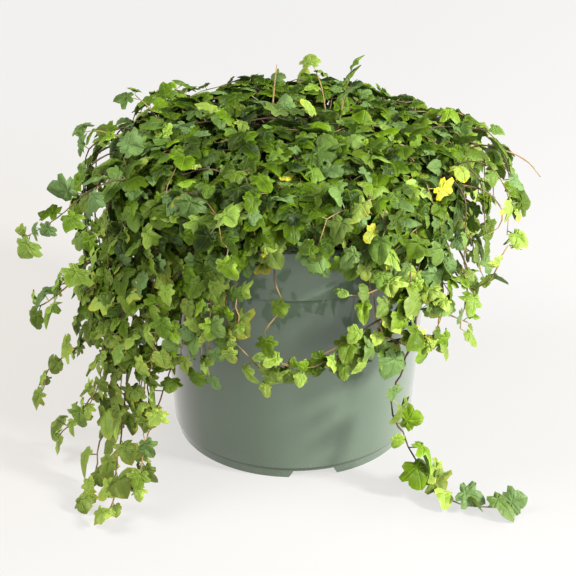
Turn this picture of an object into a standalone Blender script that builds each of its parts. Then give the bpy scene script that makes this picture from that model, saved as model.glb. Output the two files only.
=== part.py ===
"""A potted string of frogs: a creeping fig with small lobed leaves, in a plastic nursery pot.

Metres, +Z up. The origin is on the pot's axis, in the plane that the pot stands on, and the
photograph's viewer stands on the -Y side. Sizes are given in millimetres times MM.
"""
import math
import random
from typing import NamedTuple

import bmesh
import bpy
import numpy as np
from mathutils import Matrix, Vector
from mathutils.bvhtree import BVHTree

MM = 0.001
WELD = 0.01 * MM

# Pot
POT_SIDES = 36
POT_HEIGHT = 147 * MM
FOOT_RADIUS = 69.0 * MM
FOOT_HEIGHT = 6.5 * MM
FOOT_WALL = 2.5 * MM
FOOT_DRAFT = 0.6 * MM
FOOT_INNER_SLOPE = 2 * MM
BODY_RADIUS_LOW = 71.0 * MM
BODY_RADIUS_HIGH = 78.3 * MM
COLLAR_START = 117 * MM
COLLAR_RADIUS_LOW = 80.8 * MM
COLLAR_STEP = 0.6 * MM
RIM_RADIUS = 82.5 * MM
RIM_BEVEL = 1.2 * MM
WALL = 1.7 * MM
FLOOR_RISE = 5.6 * MM
FLOOR_THICKNESS = 2.4 * MM
FLOOR_BEVEL = 2 * MM
FLOOR_PAD_RADIUS = 38 * MM
FLOOR_PAD_SLOPE = 4 * MM
FLOOR_TOP = FLOOR_RISE + FLOOR_THICKNESS
NOTCH_COUNT = 3
NOTCH_WIDTH = 28 * MM
NOTCH_HEIGHT = 4.5 * MM
NOTCH_SLOPE = 2.5 * MM
CUT_OVERLAP = 3 * MM
NOTCH_FIRST_DEG = 9.8
DRAIN_COUNT = 6
DRAIN_RADIUS = 4.5 * MM
DRAIN_RING_RADIUS = 53 * MM
DRAIN_SIDES = 8
POT_COLOUR = (0.17, 0.24, 0.18, 1.0)
POT_ROUGHNESS = 0.32

# Soil
GAP = 0.4 * MM
SOIL_TOP = 131 * MM
SOIL_EDGE = 128 * MM
SOIL_FLAT_RADIUS = 62 * MM
ROOT_RING_RADIUS = 66 * MM
ROOT_DEPTH = 7 * MM
ROOT_BOTTOM = SOIL_TOP - ROOT_DEPTH + GAP
ROOT_HOLE_RADIUS = 1.5 * MM
ROOT_HOLE_SIDES = 5
ROOT_NECK = 3 * MM
SOIL_COLOUR = (0.035, 0.022, 0.014, 1.0)
SOIL_ROUGHNESS = 0.95

# Stems
STEM_RADIUS = 0.8 * MM
STEM_STEP = 17 * MM
STEM_CLEARANCE = 0.6 * MM
SPRIG_STEP = 10 * MM
SPRIG_BARE_LENGTH = 15 * MM
SPRIG_LEAF_SPACING = 13 * MM
TRAIL_COLOUR = (0.10, 0.25, 0.03, 1.0)
STEM_SEED = 11

# Leaves: the right half of one leaf 1 long, from its root in the stem past the end of its stalk
LEAF_ROOT = (0.0, -0.03)
LEAF_HALF = ((0.055, 0.18), (0.34, 0.14), (0.56, 0.58), (0.32, 0.72))
LEAF_TIP = (0.0, 1.14)
LEAF_MIDDLE = 0.55
LEAF_THICKNESS = 0.7 * MM
LEAF_FOLD = 0.22
LEAF_DROOP = 0.18
LEAF_MARGIN = 0.35 * MM
MARGIN_GROWTH = 1.04
LEAF_SIZE_RANGE = (0.85, 1.1)
LEAF_ROLL = 0.5
LEAF_ROUGHNESS = 0.5
FLOOR_CLEARANCE = 0.35 * MM
POT_CLEARANCE = 0.8 * MM
TRIES = 30

# Leaves on stems: how far each points to its side, along the stem, outwards and up
TRAIL_LEAF = 16 * MM
TRAIL_LEAF_SPACING = 17.5 * MM
TIP_LEAF_SHARE = 0.8
TIP_STRAIGHT_TRIES = 8
ASIDE = 0.85
ASIDE_AT_TIP = 0.05
ALONG_RANGE = (0.25, 0.75)
OUTWARD_RANGE = (0.0, 0.6)
UPWARD_RANGE = (-0.2, 0.3)
FACE_OUT_RANGE = (0.5, 1.0)
FACE_UP_RANGE = (0.3, 1.0)
NO_SIDE_LENGTH = 0.3

# Crown: the turned core that the upper leaves stand out of, as (radius, height) from its foot up
CORE_PROFILE = (
    (46 * MM, 131.4 * MM),
    (50 * MM, 142 * MM),
    (62 * MM, 150 * MM),
    (86 * MM, 153.5 * MM),
    (95 * MM, 159 * MM),
    (98 * MM, 169 * MM),
    (91 * MM, 178 * MM),
    (64 * MM, 183 * MM),
    (30 * MM, 186 * MM),
)
CORE_EAVE = 3
CORE_TOP = 187 * MM
CORE_SIDES = 20
CROWN_LEAF = 22.5 * MM
CROWN_LEAVES = 67
CROWN_SPREAD = 0.55
CROWN_LIFT_DEG = 38
CROWN_LOOSENESS = 0.55
LIFT_RANGE_DEG = (-22, 38)
SWING_DEG = 75
SKIRT_HEIGHTS = (157 * MM, 163.5 * MM, 171 * MM)
SKIRT_LEAVES = 19
SKIRT_LIFT_DEG = 20
SKIRT_LOOSENESS = 0.15
LEAF_SINK = 1.0 * MM
CROWN_COLOUR = (0.07, 0.20, 0.03, 1.0)
CROWN_SEED = 5

# Short stems that stand out of the crown, as (azimuth in degrees, radius in mm, height in mm)
SPRIGS = {
    "top": ((75, 25, 180), (78, 27, 199), (86, 30, 218)),
    "right_shoulder": ((66, 82, 175), (63, 102, 190), (63, 118, 188), (65, 127, 174), (67, 130, 158)),
    "right_side": ((92, 88, 170), (90, 108, 172), (88, 120, 158)),
    "left_shoulder": ((-84, 80, 175), (-83, 98, 186), (-84, 109, 182)),
    "left_high": ((-57, 88, 168), (-56, 106, 178), (-58, 122, 174), (-61, 136, 160), (-66, 147, 147)),
}

# Trailing stems: the azimuth where each is rooted, then its route below the rim, as
# (azimuth in degrees, radius in mm, height in mm). Azimuth 0 is the front (-Y) and grows to +X.
TRAILS = {
    "left_01": (-80, (-77, 102, 128), (-71, 122, 121), (-71, 136, 110), (-76, 148, 97)),
    "left_02": (-73, (-70, 104, 124), (-69, 116, 104), (-71, 122, 75), (-78, 142, 51)),
    "left_03": (-66, (-64, 106, 120), (-63, 114, 90), (-62, 119, 60), (-65, 129, 41), (-71, 141, 18)),
    "left_04": (
        -59, (-59, 106, 118), (-60, 112, 82), (-60, 116, 48), (-57, 128, 24), (-53, 139, 8),
        (-49, 149, 4),
    ),
    "left_05": (
        -52, (-52, 105, 116), (-53, 111, 84), (-53, 117, 50), (-48, 129, 28), (-44, 140, 11),
        (-42, 150, 4),
    ),
    "left_06": (-45, (-45, 102, 118), (-46, 106, 94), (-48, 108, 70), (-48, 112, 52)),
    "left_07": (
        -38, (-37, 98, 118), (-38, 99, 94), (-41, 102, 72), (-42, 110, 54), (-41, 122, 38), (-38, 135, 20),
    ),
    "left_08": (-30, (-30, 97, 116), (-31, 98, 97), (-27, 99, 76)),
    "front_01": (-21, (-21, 97, 116), (-19, 98, 102), (-14, 98, 92), (-8, 99, 80)),
    "front_02": (-6, (-4, 97, 122), (-9, 98, 108)),
    "front_03": (24, (25, 98, 124), (26, 100, 108)),
    "front_04": (
        33, (38, 98, 120), (39, 100, 106), (35, 100, 97), (28, 99, 96), (17, 98, 94), (5, 98, 89),
        (-8, 100, 92),
    ),
    "right_01": (
        43, (40, 103, 122), (37, 105, 100), (33, 102, 72), (32, 101, 56), (36, 101, 38), (40, 106, 18),
        (43, 115, 4), (43, 134, 2), (48, 152, 2),
    ),
    "right_02": (51, (49, 106, 124), (47, 112, 106), (43, 115, 86)),
    "right_03": (59, (56, 106, 124), (54, 118, 119), (56, 127, 128), (59, 131, 143)),
    "right_04": (69, (65, 106, 122), (59, 116, 112), (54, 121, 96)),
    "right_05": (82, (82, 102, 122), (80, 108, 104)),
    "back_01": (104, (104, 102, 120), (106, 108, 96)),
    "back_02": (128, (128, 101, 120), (127, 106, 96), (130, 109, 74)),
    "back_03": (150, (150, 101, 120), (152, 105, 98), (151, 108, 76), (153, 114, 56)),
    "back_04": (172, (172, 101, 120), (170, 105, 90), (173, 108, 60), (172, 118, 34)),
    "back_05": (-152, (-152, 101, 120), (-153, 106, 96), (-151, 110, 66), (-150, 121, 42)),
    "back_06": (-122, (-122, 102, 120), (-124, 108, 98), (-122, 113, 74)),
    "back_07": (-98, (-98, 103, 122), (-95, 112, 104), (-96, 117, 84), (-92, 124, 64)),
}
# How every trailing stem leaves the pot, as (radius, height)
WAY_OUT = (
    (70 * MM, 145 * MM),
    (82 * MM, 149.5 * MM),
    (88 * MM, 146 * MM),
    (92 * MM, 136 * MM),
)


# Helpers
def clear_scene():
    for obj in list(bpy.data.objects):
        bpy.data.objects.remove(obj, do_unlink=True)


def plain_material(name, colour, roughness):
    """A Principled BSDF with one colour."""
    material = bpy.data.materials.new(name)
    material.use_nodes = True
    shader = material.node_tree.nodes["Principled BSDF"]
    shader.inputs["Base Color"].default_value = colour
    shader.inputs["Roughness"].default_value = roughness
    shader.inputs["Metallic"].default_value = 0.0
    return material


def object_from_bmesh(name, bm):
    mesh = bpy.data.meshes.new(name)
    bm.to_mesh(mesh)
    bm.free()
    obj = bpy.data.objects.new(name, mesh)
    bpy.context.scene.collection.objects.link(obj)
    return obj


def ring_point(azimuth_deg, radius, height):
    """A point given by its azimuth from the front, its distance from the pot's axis and its height."""
    angle = math.radians(azimuth_deg)
    return Vector((radius * math.sin(angle), -radius * math.cos(angle), height))


def turned(name, profile, sides):
    """A closed solid turned about Z from (radius, height) points that start and end on the axis."""
    bm = bmesh.new()
    points = [bm.verts.new((radius, 0, height)) for radius, height in profile]
    edges = [bm.edges.new(pair) for pair in zip(points, points[1:])]
    bmesh.ops.spin(
        bm, geom=points + edges, cent=(0, 0, 0), axis=(0, 0, 1), angle=math.tau, steps=sides,
        use_merge=True,
    )
    bmesh.ops.remove_doubles(bm, verts=bm.verts[:], dist=WELD)
    bmesh.ops.recalc_face_normals(bm, faces=bm.faces[:])
    return object_from_bmesh(name, bm)


def boolean_with(obj, others, operation, solver):
    """One applied Boolean between obj and a collection of other objects, which are then removed."""
    collection = bpy.data.collections.new(obj.name + "_tools")
    bpy.context.scene.collection.children.link(collection)
    for other in others:
        for user in other.users_collection:
            user.objects.unlink(other)
        collection.objects.link(other)
    modifier = obj.modifiers.new(operation.title(), "BOOLEAN")
    modifier.operand_type = "COLLECTION"
    modifier.collection = collection
    modifier.operation = operation
    modifier.solver = solver
    with bpy.context.temp_override(object=obj):
        bpy.ops.object.modifier_apply(modifier=modifier.name)
    for other in others:
        bpy.data.objects.remove(other, do_unlink=True)
    bpy.data.collections.remove(collection)


def finish_object(obj, material, sharp_deg=35):
    obj.data.materials.clear()
    obj.data.materials.append(material)
    obj.data.shade_smooth()
    obj.data.set_sharp_from_angle(angle=math.radians(sharp_deg))


# Pot and soil
def inner_radius(height):
    """The pot's inner wall radius at a height below the collar."""
    share = (height - FOOT_HEIGHT) / (COLLAR_START - FOOT_HEIGHT)
    return BODY_RADIUS_LOW + share * (BODY_RADIUS_HIGH - BODY_RADIUS_LOW) - WALL


def outer_radius(height):
    """The pot's outer radius at a height, rim and collar included."""
    if height > POT_HEIGHT:
        return 0.0
    if height > COLLAR_START - WALL:
        return RIM_RADIUS
    return inner_radius(max(height, FOOT_HEIGHT)) + WALL


def make_pot():
    inner_foot_radius = FOOT_RADIUS - FOOT_WALL
    profile = (
        (0, 0),
        (FLOOR_PAD_RADIUS, 0),
        (FLOOR_PAD_RADIUS + FLOOR_PAD_SLOPE, FLOOR_RISE),
        (inner_foot_radius - FOOT_INNER_SLOPE, FLOOR_RISE),
        (inner_foot_radius, 0),
        (FOOT_RADIUS, 0),
        (FOOT_RADIUS + FOOT_DRAFT, FOOT_HEIGHT),
        (BODY_RADIUS_LOW, FOOT_HEIGHT + FOOT_DRAFT),
        (BODY_RADIUS_HIGH, COLLAR_START),
        (COLLAR_RADIUS_LOW, COLLAR_START + COLLAR_STEP),
        (RIM_RADIUS, POT_HEIGHT - RIM_BEVEL),
        (RIM_RADIUS - WALL / 2, POT_HEIGHT),
        (RIM_RADIUS - WALL, POT_HEIGHT - RIM_BEVEL),
        (COLLAR_RADIUS_LOW - WALL, COLLAR_START + WALL),
        (BODY_RADIUS_HIGH - WALL, COLLAR_START - WALL),
        (inner_radius(FLOOR_TOP + FLOOR_BEVEL), FLOOR_TOP + FLOOR_BEVEL),
        (inner_radius(FLOOR_TOP) - FLOOR_BEVEL, FLOOR_TOP),
        (FLOOR_PAD_RADIUS + FLOOR_PAD_SLOPE - GAP, FLOOR_TOP),
        (FLOOR_PAD_RADIUS - GAP, FLOOR_THICKNESS),
        (0, FLOOR_THICKNESS),
    )
    pot = turned("pot", profile, POT_SIDES)
    cutters = [notch_cutter(number) for number in range(NOTCH_COUNT)]
    cutters += [drain_cutter(number) for number in range(DRAIN_COUNT)]
    boolean_with(pot, cutters, "DIFFERENCE", "EXACT")
    finish_object(pot, plain_material("pot_plastic", POT_COLOUR, POT_ROUGHNESS))


def notch_cutter(number):
    """A wedge with sloping ends, cut up into the foot ring from below."""
    wide, narrow = NOTCH_WIDTH / 2 + NOTCH_SLOPE, NOTCH_WIDTH / 2 - NOTCH_SLOPE
    corners = ((-wide, -NOTCH_HEIGHT), (wide, -NOTCH_HEIGHT), (narrow, NOTCH_HEIGHT), (-narrow, NOTCH_HEIGHT))
    inside = FOOT_RADIUS - FOOT_WALL - FOOT_INNER_SLOPE - CUT_OVERLAP
    bm = bmesh.new()
    inner, outer = (
        [bm.verts.new((x, -radius, z)) for x, z in corners]
        for radius in (inside, FOOT_RADIUS + CUT_OVERLAP)
    )
    bm.faces.new(inner)
    bm.faces.new(outer)
    for here in range(len(corners)):
        bm.faces.new((inner[here - 1], inner[here], outer[here], outer[here - 1]))
    bmesh.ops.recalc_face_normals(bm, faces=bm.faces[:])
    angle = math.radians(NOTCH_FIRST_DEG + number * 360 / NOTCH_COUNT)
    bmesh.ops.rotate(bm, verts=bm.verts[:], matrix=Matrix.Rotation(angle, 3, "Z"))
    return object_from_bmesh(f"notch_{number}", bm)


def hole_cutter(name, place, radius, depth, sides):
    """A plain round cutter that reaches as far above a place as below it."""
    bm = bmesh.new()
    bmesh.ops.create_cone(
        bm, cap_ends=True, segments=sides, radius1=radius, radius2=radius, depth=2 * depth,
        matrix=Matrix.Translation(place),
    )
    return object_from_bmesh(name, bm)


def drain_cutter(number):
    """A plain round hole through the raised part of the pot's floor."""
    azimuth = NOTCH_FIRST_DEG + (number + 0.5) * 360 / DRAIN_COUNT
    place = ring_point(azimuth, DRAIN_RING_RADIUS, FLOOR_RISE)
    return hole_cutter(f"drain_{number}", place, DRAIN_RADIUS, FLOOR_RISE, DRAIN_SIDES)


def make_soil():
    """The potting mix: it fills the pot, with a plain hole for each trailing stem."""
    side_foot = FLOOR_TOP + FLOOR_BEVEL + GAP
    profile = (
        (0, FLOOR_THICKNESS + GAP),
        (FLOOR_PAD_RADIUS - 2 * GAP, FLOOR_THICKNESS + GAP),
        (FLOOR_PAD_RADIUS + FLOOR_PAD_SLOPE - 2 * GAP, FLOOR_TOP + GAP),
        (inner_radius(FLOOR_TOP) - FLOOR_BEVEL - GAP, FLOOR_TOP + GAP),
        (inner_radius(side_foot) - GAP, side_foot),
        (BODY_RADIUS_HIGH - WALL - GAP, COLLAR_START - WALL),
        (BODY_RADIUS_HIGH - WALL, SOIL_EDGE),
        (SOIL_FLAT_RADIUS, SOIL_TOP),
        (0, SOIL_TOP),
    )
    soil = turned("soil", profile, POT_SIDES)
    holes = [
        hole_cutter(
            "hole_" + name, ring_point(route[0], ROOT_RING_RADIUS, SOIL_TOP), ROOT_HOLE_RADIUS,
            ROOT_DEPTH + GAP, ROOT_HOLE_SIDES,
        )
        for name, route in TRAILS.items()
    ]
    boolean_with(soil, holes, "DIFFERENCE", "EXACT")
    finish_object(soil, plain_material("potting_mix", SOIL_COLOUR, SOIL_ROUGHNESS))


# Stems
def smooth_route(points, step):
    """Points about one step apart on a smooth curve through the given points."""
    padded = [2 * points[0] - points[1]] + points + [2 * points[-1] - points[-2]]
    made = []
    for p0, p1, p2, p3 in zip(padded, padded[1:], padded[2:], padded[3:]):
        count = max(1, round((p2 - p1).length / step))
        for number in range(count):
            t = number / count
            made.append(
                0.5 * ((2 * p1) + (p2 - p0) * t + (2 * p0 - 5 * p1 + 4 * p2 - p3) * t * t
                       + (3 * p1 - p0 - 3 * p2 + p3) * t ** 3)
            )
    made.append(points[-1])
    return made


def stem_points(route):
    """A trailing stem's line: up out of its hole in the soil, over the rim and down its route."""
    azimuth, *below = route
    rooted = [ring_point(azimuth, ROOT_RING_RADIUS, height) for height in (ROOT_BOTTOM, SOIL_TOP + ROOT_NECK)]
    way_out = [ring_point(azimuth, radius, height) for radius, height in WAY_OUT]
    return rooted + smooth_route(way_out + route_points(below), STEM_STEP)


def route_points(route):
    return [ring_point(azimuth, radius * MM, height * MM) for azimuth, radius, height in route]


def stem_tube(name, points, radius):
    """A four-sided tube with closed ends, as a mesh object."""
    curve = bpy.data.curves.new(name, "CURVE")
    curve.dimensions = "3D"
    curve.bevel_depth = radius
    curve.bevel_resolution = 0
    curve.use_fill_caps = True
    spline = curve.splines.new("POLY")
    spline.points.add(len(points) - 1)
    for place, point in zip(spline.points, points):
        place.co = (*point, 1.0)
    helper = bpy.data.objects.new(name + "_curve", curve)
    bpy.context.scene.collection.objects.link(helper)
    bpy.context.view_layer.update()
    graph = bpy.context.evaluated_depsgraph_get()
    mesh = bpy.data.meshes.new_from_object(helper.evaluated_get(graph))
    bpy.data.objects.remove(helper, do_unlink=True)
    bm = bmesh.new()
    bm.from_mesh(mesh)
    bmesh.ops.remove_doubles(bm, verts=bm.verts[:], dist=WELD)
    bmesh.ops.recalc_face_normals(bm, faces=bm.faces[:])
    return object_from_bmesh(name, bm)


# Leaves
class Leaf(NamedTuple):
    """One leaf: its length and its place."""

    size: float
    frame: Matrix

    def solid(self, margin=0.0, growth=1.0):
        """The leaf's solid, folded along its rib and drooping to its tip, or one a margin larger."""
        outline = [LEAF_ROOT, *LEAF_HALF, LEAF_TIP, *((-x, y) for x, y in reversed(LEAF_HALF))]
        tip = len(LEAF_HALF) + 1
        triangles = [(1, here, here + 1) for here in range(2, tip)]
        triangles += [(-a, -c, -b) for a, b, c in triangles]
        triangles += [(0, 1, -1), (1, tip, -1)]
        bm = bmesh.new()
        top, bottom = (
            [bm.verts.new(self.point(x, y, rise, growth)) for x, y in outline]
            for rise in (LEAF_THICKNESS / 2 + margin, -LEAF_THICKNESS / 2 - margin)
        )
        for corners in triangles:
            bm.faces.new([top[corner] for corner in corners])
            bm.faces.new([bottom[corner] for corner in reversed(corners)])
        for here in range(len(outline)):
            bm.faces.new((bottom[here - 1], bottom[here], top[here]))
            bm.faces.new((bottom[here - 1], top[here], top[here - 1]))
        bmesh.ops.recalc_face_normals(bm, faces=bm.faces[:])
        return bm

    def point(self, x, y, rise, growth):
        """A point of the outline in place, on the upper or the lower side."""
        bend = LEAF_FOLD * abs(x) - LEAF_DROOP * max(y, 0) ** 2
        y = LEAF_MIDDLE + growth * (y - LEAF_MIDDLE)
        return self.frame @ Vector((self.size * growth * x, self.size * y, self.size * bend + rise))


def leaf_frame(root, along, face):
    """The place of a leaf whose stalk starts at root and runs along, with its upper side to face."""
    y_axis = along.normalized()
    x_axis = y_axis.cross(face).normalized()
    z_axis = x_axis.cross(y_axis)
    return Matrix.Translation(root) @ Matrix((x_axis, y_axis, z_axis)).transposed().to_4x4()


class Space:
    """The shapes placed so far, which each new leaf has to stay clear of."""

    def __init__(self):
        self.taken = []

    def add(self, bm, owner):
        self.taken.append((*bounding_sphere(bm), BVHTree.FromBMesh(bm), owner))

    def is_clear(self, bm, carrier):
        """Whether a shape touches nothing but the stem or core that carries it."""
        centre, reach = bounding_sphere(bm)
        tree = BVHTree.FromBMesh(bm)
        return not any(
            owner != carrier and (centre - other_centre).length < reach + other_reach and tree.overlap(other)
            for other_centre, other_reach, other, owner in self.taken
        )

    def first_clear_leaf(self, proposals, carrier):
        """The first of the proposed leaves with room round it, as a list of one, or an empty list."""
        for leaf in proposals:
            wide = leaf.solid(LEAF_MARGIN, MARGIN_GROWTH)
            if clear_of_pot_and_floor(wide) and self.is_clear(wide, carrier):
                self.add(wide, "leaf")
                return [leaf]
        return []


def bounding_sphere(bm):
    centre = sum((vert.co for vert in bm.verts), Vector()) / len(bm.verts)
    return centre, max((vert.co - centre).length for vert in bm.verts)


def clear_of_pot_and_floor(bm):
    return all(
        vert.co.z > FLOOR_CLEARANCE
        and math.hypot(vert.co.x, vert.co.y) > outer_radius(vert.co.z) + POT_CLEARANCE
        for vert in bm.verts
    )


def along_line(points, spacing, start):
    """(place, direction) at equal spacings along a line, from a length on, and at its end."""
    lengths = [(after - before).length for before, after in zip(points, points[1:])]
    count = int((sum(lengths) - start) / spacing)
    for number in range(count):
        wanted = start + number * spacing
        for before, after, length in zip(points, points[1:], lengths):
            if wanted <= length:
                yield before.lerp(after, wanted / length), (after - before).normalized()
                break
            wanted -= length
    yield points[-1], (points[-1] - points[-2]).normalized()


def stem_leaf_proposals(place, along, hand, at_tip, rng):
    """Leaves that start at one place on a stem, ever more freely turned from one side of it."""
    outward = Vector((place.x, place.y, 0)).normalized()
    up = Vector((0, 0, 1))
    side = along.cross(outward)
    side = side.normalized() if side.length > NO_SIDE_LENGTH else up.cross(outward)
    for attempt in range(TRIES):
        loose = attempt / TRIES
        straight_on = at_tip and attempt < TIP_STRAIGHT_TRIES
        other_side = -1 if attempt % 5 == 4 else 1
        direction = (
            side * hand * other_side * (ASIDE_AT_TIP if straight_on else ASIDE)
            + along * rng.uniform(*ALONG_RANGE)
            + outward * (rng.uniform(*OUTWARD_RANGE) + loose * rng.random())
            + up * rng.uniform(*UPWARD_RANGE)
        )
        face = (
            outward * rng.uniform(*FACE_OUT_RANGE) + up * rng.uniform(*FACE_UP_RANGE)
            + side * rng.uniform(-LEAF_ROLL, LEAF_ROLL) * loose
        )
        size = TRAIL_LEAF * rng.uniform(*LEAF_SIZE_RANGE) * (TIP_LEAF_SHARE if at_tip else 1.0)
        yield Leaf(size, leaf_frame(place, direction, face))


def leaves_along(points, start, spacing, carrier, space, rng):
    """The leaves of one stem, left and right by turns, with a smaller one at its tip."""
    places = list(along_line(points, spacing, start))
    hand = rng.choice((-1, 1))
    leaves = []
    for number, (place, along) in enumerate(places):
        hand = -hand
        proposals = stem_leaf_proposals(place, along, hand, number == len(places) - 1, rng)
        leaves += space.first_clear_leaf(proposals, carrier)
    return leaves


def join_leaves(node, leaves):
    """Joins a node's leaves to it in one union."""
    boolean_with(node, [
        object_from_bmesh(f"{node.name}_leaf_{number}", leaf.solid()) for number, leaf in enumerate(leaves)
    ], "UNION", "MANIFOLD")


# Trailing stems
def make_bare_stems(space):
    """The trailing stems without leaves, by name, with the line that each one follows."""
    stems = {}
    for name, route in TRAILS.items():
        points = stem_points(route)
        stems[name] = (stem_tube("stem_" + name, points, STEM_RADIUS), points)
        reserve_tube(space, name, points)
    return stems


def reserve_tube(space, owner, points):
    """Keeps leaves of other stems off a stem."""
    wide = stem_tube("wide", points, STEM_RADIUS + STEM_CLEARANCE)
    reserve_object(space, owner, wide)
    bpy.data.objects.remove(wide, do_unlink=True)


def reserve_object(space, owner, obj):
    bm = bmesh.new()
    bm.from_mesh(obj.data)
    space.add(bm, owner)
    bm.free()


def leaf_the_stems(stems, space):
    material = plain_material("trailing_leaves", TRAIL_COLOUR, LEAF_ROUGHNESS)
    rng = random.Random(STEM_SEED)
    for name, (stem, points) in stems.items():
        way_out = points[:2 + len(WAY_OUT)]
        bare = sum((after - before).length for before, after in zip(way_out, way_out[1:]))
        join_leaves(stem, leaves_along(points, bare, TRAIL_LEAF_SPACING, name, space, rng))
        finish_object(stem, material)


# Crown
def core_upper_side(share):
    """(radius, height, outward normal) on the core's upper side, at a share of the way from eave to top."""
    upper = [*CORE_PROFILE[CORE_EAVE + 1:], (0.0, CORE_TOP)]
    lengths = [math.dist(before, after) for before, after in zip(upper, upper[1:])]
    wanted = share * sum(lengths)
    for before, after, length in zip(upper, upper[1:], lengths):
        if wanted <= length:
            radius, height = Vector(before).lerp(Vector(after), wanted / length)
            return radius, height, Vector((after[1] - before[1], before[0] - after[0])).normalized()
        wanted -= length
    raise ValueError(f"share {share} is past the core's top")


def core_leaf_proposals(angle, radius, height, normal, lift_deg, looseness, rng):
    """Leaves that start at one place on the core and point down its slope, ever more freely turned."""
    outward = Vector((math.sin(angle), -math.cos(angle), 0))
    up = Vector((0, 0, 1))
    out_of_core = outward * normal.x + up * normal.y
    down_slope = outward * normal.y - up * normal.x
    across = down_slope.cross(out_of_core)
    facet_radius = radius * math.cos(math.pi / CORE_SIDES)
    place = outward * facet_radius + up * height - out_of_core * LEAF_SINK
    for attempt in range(TRIES):
        loose = looseness + (1 - looseness) * attempt / TRIES
        lift = math.radians(lift_deg + rng.uniform(*LIFT_RANGE_DEG) * loose)
        swing = math.radians(rng.uniform(-SWING_DEG, SWING_DEG) * loose)
        heading = down_slope * math.cos(swing) + across * math.sin(swing)
        direction = heading * math.cos(lift) + out_of_core * math.sin(lift)
        face = (
            out_of_core * math.cos(lift) - heading * math.sin(lift)
            + across * rng.uniform(-LEAF_ROLL, LEAF_ROLL) * loose
        )
        yield Leaf(CROWN_LEAF * rng.uniform(*LEAF_SIZE_RANGE), leaf_frame(place, direction, face))


def crown_leaves(space, rng):
    """Rows of leaves that hang from the eave over the rim, and a sunflower pattern above them."""
    proposed = []
    radii, heights = zip(*CORE_PROFILE)
    for row, height in enumerate(SKIRT_HEIGHTS):
        radius = float(np.interp(height, heights, radii))
        for number in range(SKIRT_LEAVES):
            angle = math.tau * (number + row / 2) / SKIRT_LEAVES
            proposed.append((angle, radius, height, Vector((1, 0)), SKIRT_LIFT_DEG, SKIRT_LOOSENESS))
    golden_angle = math.pi * (3 - math.sqrt(5))
    for number in range(CROWN_LEAVES):
        share = 1 - ((number + 0.5) / CROWN_LEAVES) ** CROWN_SPREAD
        proposed.append((number * golden_angle, *core_upper_side(share), CROWN_LIFT_DEG, CROWN_LOOSENESS))
    leaves = []
    for leaf in proposed:
        leaves += space.first_clear_leaf(core_leaf_proposals(*leaf, rng), "crown")
    return leaves


def make_crown(space):
    """The dense head: its core, its short stems and its leaves, as one body."""
    crown = turned("crown", [(0, CORE_PROFILE[0][1]), *CORE_PROFILE, (0, CORE_TOP)], CORE_SIDES)
    reserve_object(space, "crown", crown)
    rng = random.Random(CROWN_SEED)
    leaves = []
    sprigs = []
    for name, route in SPRIGS.items():
        points = smooth_route(route_points(route), SPRIG_STEP)
        sprigs.append(stem_tube("sprig_" + name, points, STEM_RADIUS))
        reserve_tube(space, name, points)
        leaves += leaves_along(points, SPRIG_BARE_LENGTH, SPRIG_LEAF_SPACING, name, space, rng)
    boolean_with(crown, sprigs, "UNION", "MANIFOLD")
    join_leaves(crown, leaves + crown_leaves(space, rng))
    finish_object(crown, plain_material("crown_leaves", CROWN_COLOUR, LEAF_ROUGHNESS))


def main():
    clear_scene()
    make_pot()
    make_soil()
    space = Space()
    stems = make_bare_stems(space)
    make_crown(space)
    leaf_the_stems(stems, space)


main()
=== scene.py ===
"""The looks of the potted string of frogs: a finer pot, its potting mix, and the leafy stems.

It is laid out as a Blender add-on and run as a script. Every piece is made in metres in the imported
model's own frame, +Z up, with the pot's axis at the origin and the viewer on the -Y side.
"""
import math
import random
from typing import NamedTuple

import bpy
import numpy as np
from mathutils import Matrix, Vector, noise


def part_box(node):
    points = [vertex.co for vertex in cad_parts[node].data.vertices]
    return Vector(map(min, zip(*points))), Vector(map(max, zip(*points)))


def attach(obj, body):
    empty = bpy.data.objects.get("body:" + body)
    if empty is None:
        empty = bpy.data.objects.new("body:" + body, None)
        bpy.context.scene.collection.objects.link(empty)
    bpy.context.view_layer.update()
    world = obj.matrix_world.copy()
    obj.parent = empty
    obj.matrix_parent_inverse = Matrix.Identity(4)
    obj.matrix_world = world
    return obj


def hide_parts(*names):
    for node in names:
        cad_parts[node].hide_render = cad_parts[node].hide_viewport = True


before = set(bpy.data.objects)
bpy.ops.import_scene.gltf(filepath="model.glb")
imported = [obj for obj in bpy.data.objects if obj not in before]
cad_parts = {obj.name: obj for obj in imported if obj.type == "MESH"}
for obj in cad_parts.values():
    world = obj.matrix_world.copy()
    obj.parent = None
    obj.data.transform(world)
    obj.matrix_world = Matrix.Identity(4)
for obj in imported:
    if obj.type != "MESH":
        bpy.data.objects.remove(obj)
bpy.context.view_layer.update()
_, POT_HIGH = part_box("pot")

bl_info = {
    "name": "Potted string of frogs",
    "version": (1, 0, 0),
    "blender": (4, 5, 0),
    "location": "3D View > Sidebar > Plant",
    "description": "A creeping fig with small lobed leaves in a plastic nursery pot",
    "category": "Add Mesh",
}

MM = 0.001
UP = Vector((0, 0, 1))
GOLDEN_ANGLE = math.pi * (3 - math.sqrt(5))

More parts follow.
